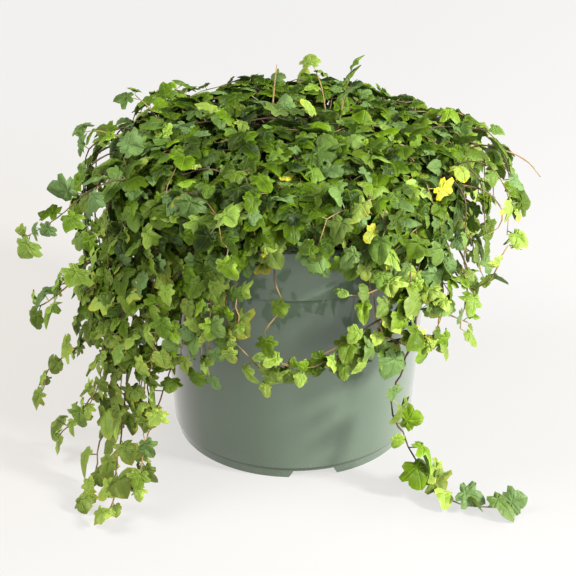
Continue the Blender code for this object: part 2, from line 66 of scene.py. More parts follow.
# Pot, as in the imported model
FOOT_RADIUS = 69.0 * MM
FOOT_HEIGHT = 6.5 * MM
FOOT_WALL = 2.5 * MM
BODY_RADIUS_LOW = 71.0 * MM
BODY_RADIUS_HIGH = 78.3 * MM
COLLAR_START = 117 * MM
COLLAR_RADIUS_LOW = 80.8 * MM
FLOOR_RISE = 5.6 * MM
FLOOR_THICKNESS = 2.4 * MM
FLOOR_TOP = FLOOR_RISE + FLOOR_THICKNESS
FLOOR_PAD_RADIUS = 38 * MM
NOTCH_WIDTH = 28 * MM
NOTCH_HEIGHT = 4.5 * MM
NOTCH_COUNT = 3
NOTCH_FIRST_DEG = 9.8
DRAIN_COUNT = 6
DRAIN_RADIUS = 4.5 * MM
DRAIN_RING_RADIUS = 53 * MM
FOOT_DRAFT = 0.6 * MM
FOOT_INNER_SLOPE = 2 * MM
COLLAR_STEP = 0.6 * MM
RIM_BEVEL = 1.2 * MM
FLOOR_PAD_SLOPE = 4 * MM
FLOOR_BEVEL = 2 * MM
GAP = 0.4 * MM
# What only this finer pot has
CORNER_RADIUS = 0.5 * MM
NOTCH_DEPTH = 14 * MM
NOTCH_TAPER = 0.18
DRAIN_SIDES = 24
DRAIN_DEPTH = 12 * MM
POT_SHARP_DEG = 32
DUST_HEIGHT = 22 * MM
DUST_COLOUR = (0.30, 0.29, 0.25, 1.0)
# Painted shade: the dark colour of thin bands below the collar's step and above the foot
STEP_SHADE_COLOUR = (0.012, 0.016, 0.011, 1.0)

# Potting mix and roots
SOIL_TOP = 131 * MM
SOIL_EDGE = 128 * MM
SOIL_FLAT_RADIUS = 62 * MM
ROOT_RING_RADIUS = 66 * MM
ROOT_BOTTOM = 124.4 * MM
ROOT_NECK = 134 * MM
SOIL_SIDES = 96
SOIL_RINGS = 26
FIBRE_COLOUR = (0.16, 0.11, 0.06, 1.0)
# Lumps of the mix, as (height, how many there are to a metre)
SOIL_LUMPS = ((1.6 * MM, 260), (0.9 * MM, 700))

# Leaf outline: the right half of a leaf 1 long, from the notch at its base to its tip
LEAF_HALF = (
    (0.12, -0.05), (0.29, -0.10), (0.46, 0.00), (0.38, 0.15), (0.64, 0.26),
    (0.58, 0.44), (0.36, 0.50), (0.37, 0.67), (0.26, 0.83), (0.12, 0.94),
)
LEAF_NOTCH = (0.0, 0.03)
LEAF_TIP = (0.0, 1.0)
LEAF_HEART = (0.0, 0.20)
LEAF_RING_SHARE = 0.58
LEAF_LOBES = (1, 2, 4, 5)
LEAF_VEINED = (0, 3, 5, 11, 17, 19)
LEAF_POINTS = 2 * len(LEAF_HALF) + 2
# How each leaf shape differs: width, lobe length, tip length and lean to one side
LEAF_KINDS = (
    (1.00, 1.00, 1.00, 0.00),
    (0.90, 1.12, 1.05, 0.05),
    (1.08, 0.92, 0.90, -0.05),
    (0.84, 0.85, 1.12, 0.03),
    (1.02, 1.18, 0.84, -0.08),
    (0.94, 0.78, 0.95, 0.08),
)
STALK_SIDES = 3
STALK_FLOOR = -2.0
# A stalk's radius, as a share of the leaf's length and what is added to it
STALK_THICKNESS = (0.021, 0.06 * MM)
BLADE_RISE = 0.035
BLISTER_RISE = 0.05
# How a leaf 1 long bends: the least and the most of each bend
FOLD = (-0.22, 0.28)
CUP = (0.05, 0.6)
DROOP = (-0.1, 0.25)
TWIST = (-0.4, 0.4)
WAVE = (0.02, 0.08)
WAVES_ROUND = 5
# What a leaf's stalk, its face and its tip turn to on a stem, and how strongly
STALK_WAYS = {"side": 0.8, "along": 0.3, "outward": 0.45, "any": 0.35}
FACE_WAYS = {"outward": 0.85, "up": 0.4, "side": 0.15, "any": 0.62}
TIP_WAYS = {"stalk": 0.6, "along": 0.35, "up": -0.35, "any": 0.45}
STALK_LENGTHS = (0.35, 0.65)
# How far above the floor a leaf's points and its tip stay, how far its blade is raised for that at most, and how
# steeply it may then point down
FLOOR_GAP = 0.4 * MM
TIP_GAP = 4 * MM
MOST_LIFT = 7 * MM
STEEPEST = -0.35
# Sizes of leaves on a stem, as shares of the usual size, how much smaller they are at its tip, where the tip
# starts, as a share of the stem, and the share of leaves that are missing
LEAF_SIZES = (0.62, 1.18)
TIP_SHRINKAGE = 0.12
TIP_START = 0.75
MISSING_LEAVES = 0.08
# Stems: the distance between their points, how much thicker every other point is, how long their young end is,
# and the length below which a stem has no clear side
STEM_STEP = 5 * MM
STEM_KNOTS = 0.25
TWIG_KNOTS = 0.3
YOUNG_END = 50 * MM
NO_SIDE_LENGTH = 0.3

# A leaf's shade runs from 0, deep green, past 0.42, grown, and 0.78, young, to 1, yellow.
# Shades, as (share of the leaves up to here, deepest, lightest)
CROWN_SHADES = ((0.63, 0.0, 0.28), (0.935, 0.28, 0.52), (0.990, 0.56, 0.76), (1.0, 0.82, 0.93))
TRAIL_SHADES = ((0.38, 0.14, 0.36), (0.9, 0.36, 0.60), (1.0, 0.62, 0.78))
GROWN_SHADE = 0.42
YOUNG_SHADE = 0.78
DEEP_SHADE = 0.1
LIGHTEST_GREEN = 0.74
YELLOW_FROM = 0.8
YELLOW_SIZE = 0.8
# How much lighter leaves are at a tip and below the head, the heights between which that comes in, those between
# which a stem's own lightening, painted light, grows, and the share of it higher up and what comes to that low down
TIP_LIGHTER = 0.18
LOW_LIGHTER = 0.07
LOW_HEIGHTS = (168 * MM, 148 * MM)
FLOOR_HEIGHTS = (105 * MM, 25 * MM)
OWN_PAINTED_LIGHT = (0.7, 2.3)
UNDERSIDE_COLOUR = (0.20, 0.32, 0.075, 1.0)
PALE_SHARE = 0.35
STALK_COLOUR = (0.13, 0.22, 0.04, 1.0)
STALK_GREENNESS = 0.45

# The surface that the leafy head follows, as (radius, height) from the curtain below the rim to the top
SHELL = (
    (90, 92), (90, 120), (90, 138), (92, 148), (95, 156), (96, 165), (90, 174), (74, 181),
    (45, 187), (0, 190),
)
# How much higher or lower the head stands there, as (azimuth in degrees, mm)
SWELL = (
    (-180, -2), (-150, -4), (-128, -3), (-110, 0), (-80, -2), (0, 0), (80, 0), (105, -3), (130, -10), (155, 0),
    (180, -2),
)
# How much wider or narrower it is there
GIRTH = (
    (-180, 0), (-120, 0), (-90, -5), (-60, -2), (-20, -2), (20, -2), (50, -1), (80, -6), (110, -4), (150, 0),
    (180, 0),
)
# The heights between which the swell comes in
SWELL_HEIGHTS = (150 * MM, 185 * MM)
# Where the head's lower edge hangs, as (azimuth in degrees, height in mm)
HEM = (
    (-180, 112), (-130, 122), (-105, 144), (-90, 149), (-72, 144), (-60, 126), (-50, 112), (-38, 112),
    (-28, 126), (-18, 148), (-6, 158), (6, 158), (14, 152), (26, 138), (38, 128), (52, 134), (70, 148),
    (95, 148), (110, 136), (130, 116), (180, 112),
)

# The dark knot of stems and dead leaves inside the head, as (radius, height)
TANGLE_PROFILE = (
    (52, 133), (64, 149), (76, 151), (83, 156), (84, 164), (78, 170), (64, 175), (46, 178), (28, 180), (10, 181),
)
TANGLE_SIDES = 64
# The tangle's colour: dark stems and dead leaves, made near-black as painted shade in the gaps
TANGLE_SHADE_COLOUR = (0.020, 0.022, 0.008)
TANGLE_LUMP = 2.6 * MM
TANGLE_LUMP_SCALE = 95
TANGLE_MIDDLE = 150 * MM
# Shaded leaves next to it: how far below the head's surface they start, in mm, and their sizes and shades, which are
# deep, partly as old leaves and partly as painted shade
INNER_DEPTHS = (9, 13)
INNER_REACH = 6 * MM
INNER_SIZES = (0.85, 1.2)
INNER_SHADES = (0.0, 0.16)
# Shoots start above this height, in mm, and this far below the head's surface. One in three is loose.
HEAD_FOOT = 149
SHOOT_DEPTH = 8 * MM
LOOSE_EVERY = 3
# How a shoot runs: how strongly it turns down and by chance at each step, and how its distance from the head
# wavers, as a height and how many waves there are to a metre
SHOOT_DROOP = 0.16
SHOOT_WANDER = 0.22
SHOOT_WAVER = 3.5 * MM
SHOOT_WAVER_SCALE = 45
# How much less shoots stand off near the head's middle, as (radius, share of the usual rise)
FLATTER_INSIDE = ((46.2, 0.4), (79.2, 0.7))
# Where the leaves open and bare stems show, and the distance between leaves there, in mm
OPENING_SCALE = 30
OPENING_SHIFT = Vector((3.1, 0.7, 5.2))
OPENING_LEVEL = -0.19
OPENING_SPACING = 17
# What the draws by chance start from
CROWN_SEED = 21
TRAIL_SEED = 8

# Short stems that stand out of the crown: the distance between leaves, then the route as
# (azimuth in degrees, radius in mm, height in mm)
SPRIGS = {
    "top": (8, (75, 25, 180), (78, 27, 197), (84, 31, 217)),
    "top_back": (9, (150, 38, 180), (158, 44, 194), (165, 50, 202)),
    "right_shoulder": (8, (66, 82, 170), (64, 102, 182), (64, 115, 181), (65, 123, 170), (67, 126, 158)),
    "right_side": (8, (92, 82, 168), (90, 104, 174), (88, 120, 160), (88, 124, 148)),
    "right_arch": (7, (97, 78, 168), (98, 94, 178), (97, 106, 179), (95, 114, 174), (93, 118, 164)),
    "right_hanging": (
        14, (80, 82, 168), (80, 98, 179), (80, 108, 181), (80, 116, 176), (80, 120, 163), (80, 121, 147),
        (79, 121, 130),
    ),
    "right_back": (8, (113, 72, 168), (112, 88, 180), (109, 101, 181), (108, 111, 174)),
    "left_shoulder": (10, (-84, 78, 170), (-83, 94, 182), (-85, 106, 186), (-87, 115, 184)),
    "left_high": (8, (-57, 86, 166), (-56, 106, 178), (-58, 124, 174), (-61, 140, 160), (-66, 153, 147)),
    "left_back_high": (8, (-103, 70, 170), (-103, 80, 186), (-103, 87, 193), (-105, 92, 195)),
    "left_back": (7, (-112, 66, 172), (-115, 78, 184), (-118, 88, 188), (-121, 97, 184)),
    "left_back_low": (7, (-127, 66, 172), (-129, 78, 184), (-131, 91, 186), (-134, 102, 178)),
}
# Thin twigs without leaves that stand out of the crown
BARE_SPRIGS = (
    ((-150, 24, 178), (-158, 29, 196), (-163, 31, 211)),
    ((80, 108, 180), (81, 120, 177), (83, 130, 170), (84, 137, 161)),
    ((70, 92, 164), (73, 108, 160), (75, 118, 148), (73, 117, 139), (70, 110, 136)),
)
# Stems that arch out of the crown and hang beside it: (azimuth in degrees, how far out in mm, the height where
# each ends in mm, distance between leaves in mm)
FALLS = (
    (-47, 103, 96, 8), (-56, 107, 92, 8), (-64, 110, 104, 8), (-71, 113, 88, 9), (-79, 117, 118, 9),
    (-87, 115, 84, 9), (-94, 118, 112, 9), (-102, 116, 126, 9), (-111, 112, 102, 8), (-121, 110, 92, 9),
    (-132, 109, 100, 9), (-144, 110, 88, 9), (-157, 108, 96, 9), (-170, 109, 90, 9), (176, 108, 98, 9),
    (163, 109, 104, 9), (150, 107, 94, 9), (138, 110, 98, 9), (127, 110, 106, 9), (116, 112, 112, 9),
    (105, 114, 128, 11), (91, 113, 140, 13), (72, 109, 138, 13), (60, 107, 124, 11), (50, 104, 118, 9),
    (41, 101, 112, 8), (30, 100, 122, 8), (35, 102, 106, 11),
)
# The height of the crest of a fall that reaches this far out, the steps in which it hangs, all in mm, and how
# much painted light makes its leaves lighter at the left
FALL_CREST = 173
FALL_REACH = 103
FALL_STEP = 20
FALL_PAINTED_LIGHT = 0.08

# Trailing stems: the azimuth where each is rooted, then its route below the rim
TRAILS = {
    "left_01": (-80, (-77, 102, 128), (-71, 122, 118), (-71, 136, 105), (-76, 146, 91)),
    "left_02": (-73, (-70, 104, 124), (-69, 116, 104), (-71, 122, 75), (-78, 142, 49), (-80, 147, 32)),
    "left_03": (-66, (-64, 106, 120), (-63, 114, 90), (-62, 119, 60), (-65, 129, 38), (-71, 142, 13)),
    "left_04": (
        -59, (-59, 106, 118), (-60, 112, 82), (-60, 116, 48), (-57, 128, 24), (-53, 139, 8),
        (-49, 149, 4),
    ),
    "left_05": (
        -52, (-52, 105, 116), (-53, 111, 84), (-53, 117, 50), (-48, 129, 28), (-44, 140, 11),
        (-42, 150, 4),
    ),
    "left_06": (-45, (-45, 102, 118), (-46, 106, 94), (-48, 108, 70), (-48, 112, 52)),
    "left_07": (
        -38, (-37, 98, 118), (-38, 99, 94), (-41, 102, 72), (-42, 110, 54), (-41, 122, 38), (-38, 135, 20),
    ),
    "left_08": (-30, (-30, 97, 116), (-31, 98, 97), (-27, 99, 76)),
    "front_01": (-21, (-21, 97, 116), (-19, 98, 102), (-14, 98, 92), (-8, 99, 80)),
    "front_02": (-6, (-4, 97, 122), (-9, 98, 108)),
    "front_03": (24, (25, 98, 124), (26, 100, 108)),
    "front_04": (
        33, (38, 98, 120), (39, 100, 106), (35, 100, 97), (28, 99, 96), (17, 98, 94), (5, 98, 89),
        (-8, 100, 92),
    ),
    "right_01": (
        43, (40, 103, 122), (37, 105, 100), (33, 102, 72), (32, 101, 56), (36, 101, 38), (40, 106, 18),
        (43, 115, 4), (43, 134, 2), (48, 152, 2),
    ),
    "right_02": (51, (49, 105, 124), (46, 109, 108), (42, 111, 92)),
    "right_03": (59, (56, 106, 124), (54, 118, 119), (56, 127, 128), (59, 131, 143)),
    "right_04": (69, (65, 104, 122), (58, 111, 112), (52, 114, 97)),
    "right_05": (82, (82, 102, 122), (80, 108, 104)),
    "back_01": (104, (104, 102, 120), (106, 108, 96)),
    "back_02": (128, (128, 101, 120), (127, 106, 96), (130, 109, 74)),
    "back_03": (150, (150, 101, 120), (152, 105, 98), (151, 108, 76), (153, 114, 56)),
    "back_04": (172, (172, 101, 120), (170, 105, 90), (173, 108, 60), (172, 118, 34)),
    "back_05": (-152, (-152, 101, 120), (-153, 106, 96), (-151, 110, 66), (-150, 121, 42)),
    "back_06": (-122, (-122, 102, 120), (-124, 108, 98), (-122, 113, 74)),
    "back_07": (-98, (-98, 103, 122), (-95, 112, 104), (-96, 117, 84), (-92, 124, 64)),
}
# How all of them pass over the rim, as (radius, height)
WAY_OUT = ((70, 145), (82, 149.5), (88, 146), (92, 136))
# Thinner stems beside a trailing stem: how far round and out from it each hangs, and its share of the length
COMPANIONS = {
    "left_01": ((5, -10, 0.8), (-6, -6, 0.9)),
    "left_02": ((-5, -8, 0.75), (4, 3, 0.6), (-9, -14, 0.9)),
    "left_03": ((3, 5, 0.8), (-4, -4, 0.62), (-9, -12, 0.85)),
    "left_04": ((4, 3, 0.72), (-3, 6, 0.5), (-7, -10, 0.78)),
    "left_05": ((4, -5, 0.7), (-2, 5, 0.6), (5, -9, 0.86)),
    "left_06": ((4, 4, 0.85), (-3, -2, 1.0)),
    "left_07": ((3, 2, 0.6), (-3, 4, 0.5)),
    "left_08": ((4, 2, 0.9), (-4, 2, 0.8)),
    "front_01": ((4, 2, 0.7), (-5, 2, 0.8)),
    "front_04": ((1, 2, 0.97), (-2, 3, 0.9)),
    "right_01": ((7, 5, 0.40), (-5, 2, 0.34)),
    "right_02": ((-5, -3, 0.7),),
    "right_03": ((7, -8, 0.7),),
    "right_05": ((6, 0, 0.8),),
    "back_01": ((7, 0, 0.9), (-8, 0, 0.7)),
    "back_02": ((7, 2, 0.8), (-8, 0, 0.7)),
    "back_03": ((8, 0, 0.7), (-7, 2, 0.8)),
    "back_04": ((8, 0, 0.75), (-8, 2, 0.6)),
    "back_05": ((8, 0, 0.7), (-8, 2, 0.8)),
    "back_06": ((8, 2, 0.9), (-7, 0, 0.8)),
    "back_07": ((6, -3, 0.8), (-7, 0, 0.7)),
}
# Trailing stems with fewer or more leaves than the others, as a share of the usual spacing
BARENESS = {
    "front_02": 3.2, "front_03": 1.5, "front_04": 0.72, "right_01": 1.05, "right_03": 1.2, "right_04": 1.3,
    "right_05": 1.3,
}
# Where a trailing stem is bare, as shares of its length
BARE_STRETCHES = {"front_04": ((0.42, 0.64), (0.84, 0.90)), "right_01": ((0.30, 0.36),)}
# Trailing stems whose leaves differ, as (share of the usual size, how much lighter by painted light, which is
# painted shade below 0)
SIZE_AND_PAINTED_LIGHT = {
    "right_01": (1.2, 0.03), "left_01": (1.0, 0.09), "left_02": (1.04, 0.11), "left_03": (1.12, 0.14),
    "left_04": (1.2, 0.16), "left_05": (1.2, 0.16), "left_06": (1.0, 0.08), "left_07": (1.0, 0.07),
    "right_03": (0.95, 0.06), "front_04": (0.95, -0.07),
}
# Bare woody stems that cross the front of the pot
TWIGS = (
    ((45, 103, 126), (40, 102, 118), (34, 101, 113), (26, 100, 111), (17, 100, 103), (9, 99, 95), (2, 98, 90)),
    ((40, 101, 87), (34, 101, 95), (28, 101, 101), (23, 100, 100), (18, 100, 97)),
    ((34, 102, 114), (41, 104, 112), (50, 106, 104), (60, 110, 92)),
    ((36, 94, 138), (33, 98, 134), (27, 100, 130), (20, 100, 128), (14, 98, 129)),
    ((26, 100, 111), (27, 101, 106), (28, 101, 101)),
)
# How much a stem turns at each leaf, after so many points and above this height
ZIGZAG = 0.9 * MM
ZIGZAG_FROM = 10
ZIGZAG_LOWEST = 3 * MM
# The thickness and the leaves of the thinner stems, as a share of the trailing stem's
COMPANION_SLIMNESS = 0.85

# Lights, as (place, size, share of the key light's power, colour)
LIGHTS = {
    "key": ((1.15, -0.55, 0.8), 0.24, 1.0, (1.0, 0.985, 0.96)),
    "front_fill": ((0.75, -1.05, 0.45), 0.8, 0.29, (1.0, 0.99, 0.98)),
    "left_window": ((-0.85, -0.15, 0.95), 0.7, 0.46, (1.0, 0.995, 0.98)),
    "right_window": ((1.0, 0.25, 0.45), 0.9, 0.28, (1.0, 0.99, 0.975)),
}
LIGHT_AIM = Vector((0, 0, 0.1))
SKY_COLOUR = (1.0, 0.99, 0.975, 1.0)
# The floor glows so that it stays pale: painted light makes it lighter far away, and a painted shadow makes it a
# little darker and warmer at the left
FLOOR_SIZE = 40
FLOOR_GLOW = 4.3
FLOOR_FAR = (0.15, 1.6)
FLOOR_FAR_LIGHT = 1.26
FLOOR_SHADOW_PLACE = (-0.34, 0.10, 0)
FLOOR_SHADOW_REACH = 0.55
FLOOR_SHADOW_TINT = (0.98, 0.93, 0.88)
CAMERA_TARGET = Vector((-2.8 * MM, 0, 85.5 * MM))
CAMERA_LENS = 93.75
CAMERA_SENSOR = 36


class PotSettings(bpy.types.PropertyGroup):
    """Sizes and colour of the nursery pot."""

    rim_radius: bpy.props.FloatProperty(
        name="Rim radius", description="Outer radius of the rim", default=POT_HIGH.x, unit="LENGTH",
    )
    height: bpy.props.FloatProperty(
        name="Height", description="Height of the pot", default=POT_HIGH.z, unit="LENGTH",
    )
    wall: bpy.props.FloatProperty(
        name="Wall", description="Thickness of the wall", default=1.7 * MM, unit="LENGTH",
    )
    sides: bpy.props.IntProperty(
        name="Sides", description="Number of facets round the pot", default=144,
    )
    colour: bpy.props.FloatVectorProperty(
        name="Plastic", description="Colour of the plastic", default=(0.106, 0.150, 0.103), subtype="COLOR",
    )
    soil_colour: bpy.props.FloatVectorProperty(
        name="Potting mix", description="Colour of the potting mix", default=(0.03, 0.019, 0.012),
        subtype="COLOR",
    )


class LeafSettings(bpy.types.PropertyGroup):
    """Sizes, numbers and colours of the leaves."""

    crown_size: bpy.props.FloatProperty(
        name="Crown leaf", description="Length of a leaf in the head", default=12.3 * MM, unit="LENGTH",
    )
    trailing_size: bpy.props.FloatProperty(
        name="Trailing leaf", description="Length of a leaf on a trailing stem", default=12.5 * MM,
        unit="LENGTH",
    )
    spacing: bpy.props.FloatProperty(
        name="Spacing", description="Distance between leaves along a stem", default=8.8 * MM, unit="LENGTH",
    )
    inner_count: bpy.props.IntProperty(
        name="Inner leaves", description="Number of shaded leaves next to the tangle", default=760,
    )
    shoot_count: bpy.props.IntProperty(
        name="Shoots", description="Number of leafy shoots in the head", default=262,
    )
    deep: bpy.props.FloatVectorProperty(
        name="Old leaf", description="Colour of the oldest leaves", default=(0.014, 0.032, 0.001),
        subtype="COLOR",
    )
    middle: bpy.props.FloatVectorProperty(
        name="Grown leaf", description="Colour of grown leaves", default=(0.104, 0.185, 0.004),
        subtype="COLOR",
    )
    young: bpy.props.FloatVectorProperty(
        name="Young leaf", description="Colour of young leaves", default=(0.22, 0.31, 0.055),
        subtype="COLOR",
    )
    # This sage green is partly the leaves' own dull colour and partly painted sheen
    sage_and_sheen: bpy.props.FloatVectorProperty(
        name="Dull leaf", description="Sage green that dulls some of the leaves", default=(0.118, 0.198, 0.070),
        subtype="COLOR",
    )
    yellow: bpy.props.FloatVectorProperty(
        name="Yellow leaf", description="Colour of the few yellowing leaves", default=(0.38, 0.33, 0.014),
        subtype="COLOR",
    )


class StemSettings(bpy.types.PropertyGroup):
    """Thickness and colours of the stems."""

    radius: bpy.props.FloatProperty(
        name="Stem radius", description="Radius of a trailing stem at its root", default=0.65 * MM,
        unit="LENGTH",
    )
    woody: bpy.props.FloatVectorProperty(
        name="Old stem", description="Colour of old stems", default=(0.085, 0.047, 0.022), subtype="COLOR",
    )
    fresh: bpy.props.FloatVectorProperty(
        name="Young stem", description="Colour of young stems", default=(0.33, 0.21, 0.08),
        subtype="COLOR",
    )


class StageSettings(bpy.types.PropertyGroup):
    """Camera, floor and lights."""

    elevation: bpy.props.FloatProperty(
        name="Elevation", description="Camera's angle above the horizon", default=math.radians(26.39),
        subtype="ANGLE",
    )
    distance: bpy.props.FloatProperty(
        name="Distance", description="Camera's distance from its target", default=0.873, unit="LENGTH",
    )
    floor_colour: bpy.props.FloatVectorProperty(
        name="Floor", description="Colour of the floor", default=(0.15, 0.149, 0.147), subtype="COLOR",
    )
    key_power: bpy.props.FloatProperty(
        name="Key light", description="Power of the key light in watts", default=38.0,
    )
    sky_strength: bpy.props.FloatProperty(
        name="Sky", description="Strength of the light from all round", default=0.16,
    )


# Plain helpers
def deselect_all():
    for obj in bpy.context.selected_objects:
        obj.select_set(False)


def pick(obj):
    """Selects one object alone and makes it active."""
    deselect_all()
    obj.select_set(True)
    bpy.context.view_layer.objects.active = obj


def settle():
    """Puts the active object's place, turn and size into its mesh."""
    bpy.ops.object.transform_apply(location=True, rotation=True, scale=True)


def active_piece(name):
    """The object that an operator has just added, by its new name."""
    piece = bpy.context.object
    piece.name = name
    piece.data.name = name
    return piece


def in_edit_mode():
    bpy.ops.object.mode_set(mode="EDIT")


def in_object_mode():
    bpy.ops.object.mode_set(mode="OBJECT")


def ramp(value, low, high):
    """How far a value is on its way from low to high, from 0 to 1."""
    return min(1.0, max(0.0, (value - low) / (high - low)))


def coordinates(obj):
    values = np.empty(len(obj.data.vertices) * 3, np.float32)
    obj.data.vertices.foreach_get("co", values)
    return values.reshape(-1, 3).astype(float)


def set_coordinates(obj, values):
    obj.data.vertices.foreach_set("co", np.asarray(values, np.float32).ravel())
    obj.data.update()


def ring_point(azimuth_deg, radius, height):
    """A point given by its azimuth from the front, its distance from the pot's axis and its height."""
    angle = math.radians(azimuth_deg)
    return Vector((radius * math.sin(angle), -radius * math.cos(angle), height))


def apply_modifiers(obj):
    pick(obj)
    for modifier in list(obj.modifiers):
        bpy.ops.object.modifier_apply(modifier=modifier.name)


def joined(name, parts):
    """The parts as one piece."""
    pick(parts[0])
    for part in parts:
        part.select_set(True)
    if len(parts) > 1:
        bpy.ops.object.join()
    return active_piece(name)


def keep_piece(piece, slot, *nodes):
    """Parents a finished piece to the root body and hides the imported parts that it takes the place of."""
    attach(piece, "root")
    if nodes:
        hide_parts(*nodes)


# Shader helpers
def new_group(name, inputs, outputs):
    """An empty shader node group with float, colour or vector sockets, and its two ends."""
    group = bpy.data.node_groups.new(name, "ShaderNodeTree")
    for direction, sockets in (("INPUT", inputs), ("OUTPUT", outputs)):
        for label, kind, value in sockets:
            socket = group.interface.new_socket(label, in_out=direction, socket_type="NodeSocket" + kind)
            if value is not None:
                socket.default_value = value
    return group, group.nodes.new("NodeGroupInput"), group.nodes.new("NodeGroupOutput")


def add_node(tree, kind, settings=None, **inputs):
    """A shader node with its settings, and its inputs by name, each a value or another node's output."""
    node = tree.nodes.new("ShaderNode" + kind)
    for label, value in (settings or {}).items():
        setattr(node, label, value)
    for label, value in inputs.items():
        connect(tree, node.inputs[label.replace("_", " ")], value)
    return node


def connect(tree, socket, value):
    if isinstance(value, bpy.types.NodeSocket):
        tree.links.new(value, socket)
    else:
        socket.default_value = value


def calculate(tree, operation, *values):
    """A Math node's output."""
    node = tree.nodes.new("ShaderNodeMath")
    node.operation = operation
    for socket, value in zip(node.inputs, values):
        connect(tree, socket, value)
    return node.outputs[0]


def times(tree, first, second):
    return calculate(tree, "MULTIPLY", first, second)


def plus(tree, first, second):
    return calculate(tree, "ADD", first, second)


def minus(tree, first, second):
    return calculate(tree, "SUBTRACT", first, second)


def spread(tree, value, low, high, to_low=0.0, to_high=1.0):
    """A value mapped smoothly from one range to another."""
    node = tree.nodes.new("ShaderNodeMapRange")
    node.interpolation_type = "SMOOTHSTEP"
    for socket, entry in zip(node.inputs, (value, low, high, to_low, to_high)):
        connect(tree, socket, entry)
    return node.outputs["Result"]


def mixed_colour(tree, share, first, second, blend="MIX"):
    node = tree.nodes.new("ShaderNodeMix")
    node.data_type = "RGBA"
    node.blend_type = blend
    connect(tree, node.inputs["Factor"], share)
    for label, value in (("A", first), ("B", second)):
        socket = [entry for entry in node.inputs if entry.name == label and entry.type == "RGBA"][0]
        connect(tree, socket, value)
    return [entry for entry in node.outputs if entry.type == "RGBA"][0]


def lit(tree, colour, light):
    """A colour made lighter or darker by a value."""
    grey = add_node(tree, "CombineColor", Red=light, Green=light, Blue=light)
    return mixed_colour(tree, 1.0, colour, grey.outputs["Color"], "MULTIPLY")


def add_bump(tree, shader, height, strength, distance):
    bump = add_node(tree, "Bump", Height=height, Strength=strength, Distance=distance)
    tree.links.new(bump.outputs["Normal"], shader.inputs["Normal"])


def rgba(colour):
    return (*colour, 1.0)


def mottle_group(name):
    """Soft patches and fine specks, for any surface that isn't one even colour."""
    group, start, end = new_group(
        name,
        (("Vector", "Vector", None), ("Patch Scale", "Float", 60.0), ("Speck Scale", "Float", 900.0)),
        (("Patches", "Float", None), ("Specks", "Float", None)),
    )
    patches = add_node(group, "TexNoise", {"noise_dimensions": "3D"}, Vector=start.outputs["Vector"],
                       Scale=start.outputs["Patch Scale"], Detail=3.0)
    specks = add_node(group, "TexNoise", {"noise_dimensions": "3D"}, Vector=start.outputs["Vector"],
                      Scale=start.outputs["Speck Scale"], Detail=2.0)
    group.links.new(patches.outputs["Fac"], end.inputs["Patches"])
    group.links.new(specks.outputs["Fac"], end.inputs["Specks"])
    return group


def vein_group(name):
    """A leaf's five main veins, on its own flat map."""
    group, start, end = new_group(name, (("Map", "Vector", None),), (("Main", "Float", None),))
    flat = add_node(group, "SeparateXYZ", Vector=start.outputs["Map"])
    across = calculate(group, "ABSOLUTE", minus(group, flat.outputs["X"], 0.5))
    along = minus(group, flat.outputs["Y"], 0.3)
    veins = 0.0
    for degrees in (0, 66, 122):
        cosine, sine = math.cos(math.radians(degrees)), math.sin(math.radians(degrees))
        beside = calculate(group, "ABSOLUTE", minus(group, times(group, across, cosine), times(group, along, sine)))
        ahead = plus(group, times(group, across, sine), times(group, along, cosine))
        ray = times(group, spread(group, beside, 0.020, 0.004), calculate(group, "GREATER_THAN", ahead, -0.01))
        veins = calculate(group, "MAXIMUM", veins, ray)
    group.links.new(veins, end.inputs["Main"])
    return group


def new_material(name):
    """A material with its Principled shader."""
    material = bpy.data.materials.new(name)
    material.use_nodes = True
    return material, material.node_tree, material.node_tree.nodes["Principled BSDF"]


def place_group(tree, name, build, **inputs):
    """A shared node group in a material. It is built the first time that one is placed."""
    node = tree.nodes.new("ShaderNodeGroup")
    node.node_tree = bpy.data.node_groups.get(name) or build(name)
    for label, value in inputs.items():
        connect(tree, node.inputs[label.replace("_", " ")], value)
    return node


def place_mottle(tree, patch_scale, speck_scale):
    """The mottle's patches and specks on the piece's own coordinates."""
    place = add_node(tree, "TexCoord")
    mottle = place_group(tree, "mottle", mottle_group, Vector=place.outputs["Object"],
                         Patch_Scale=patch_scale, Speck_Scale=speck_scale)
    return mottle.outputs["Patches"], mottle.outputs["Specks"]


def look_values(tree):
    """What is stored on leaves and stems: the shade, how near the leaf's rim is, and a number by chance."""
    look = add_node(tree, "Attribute", {"attribute_name": "look"})
    return add_node(tree, "SeparateXYZ", Vector=look.outputs["Vector"]).outputs


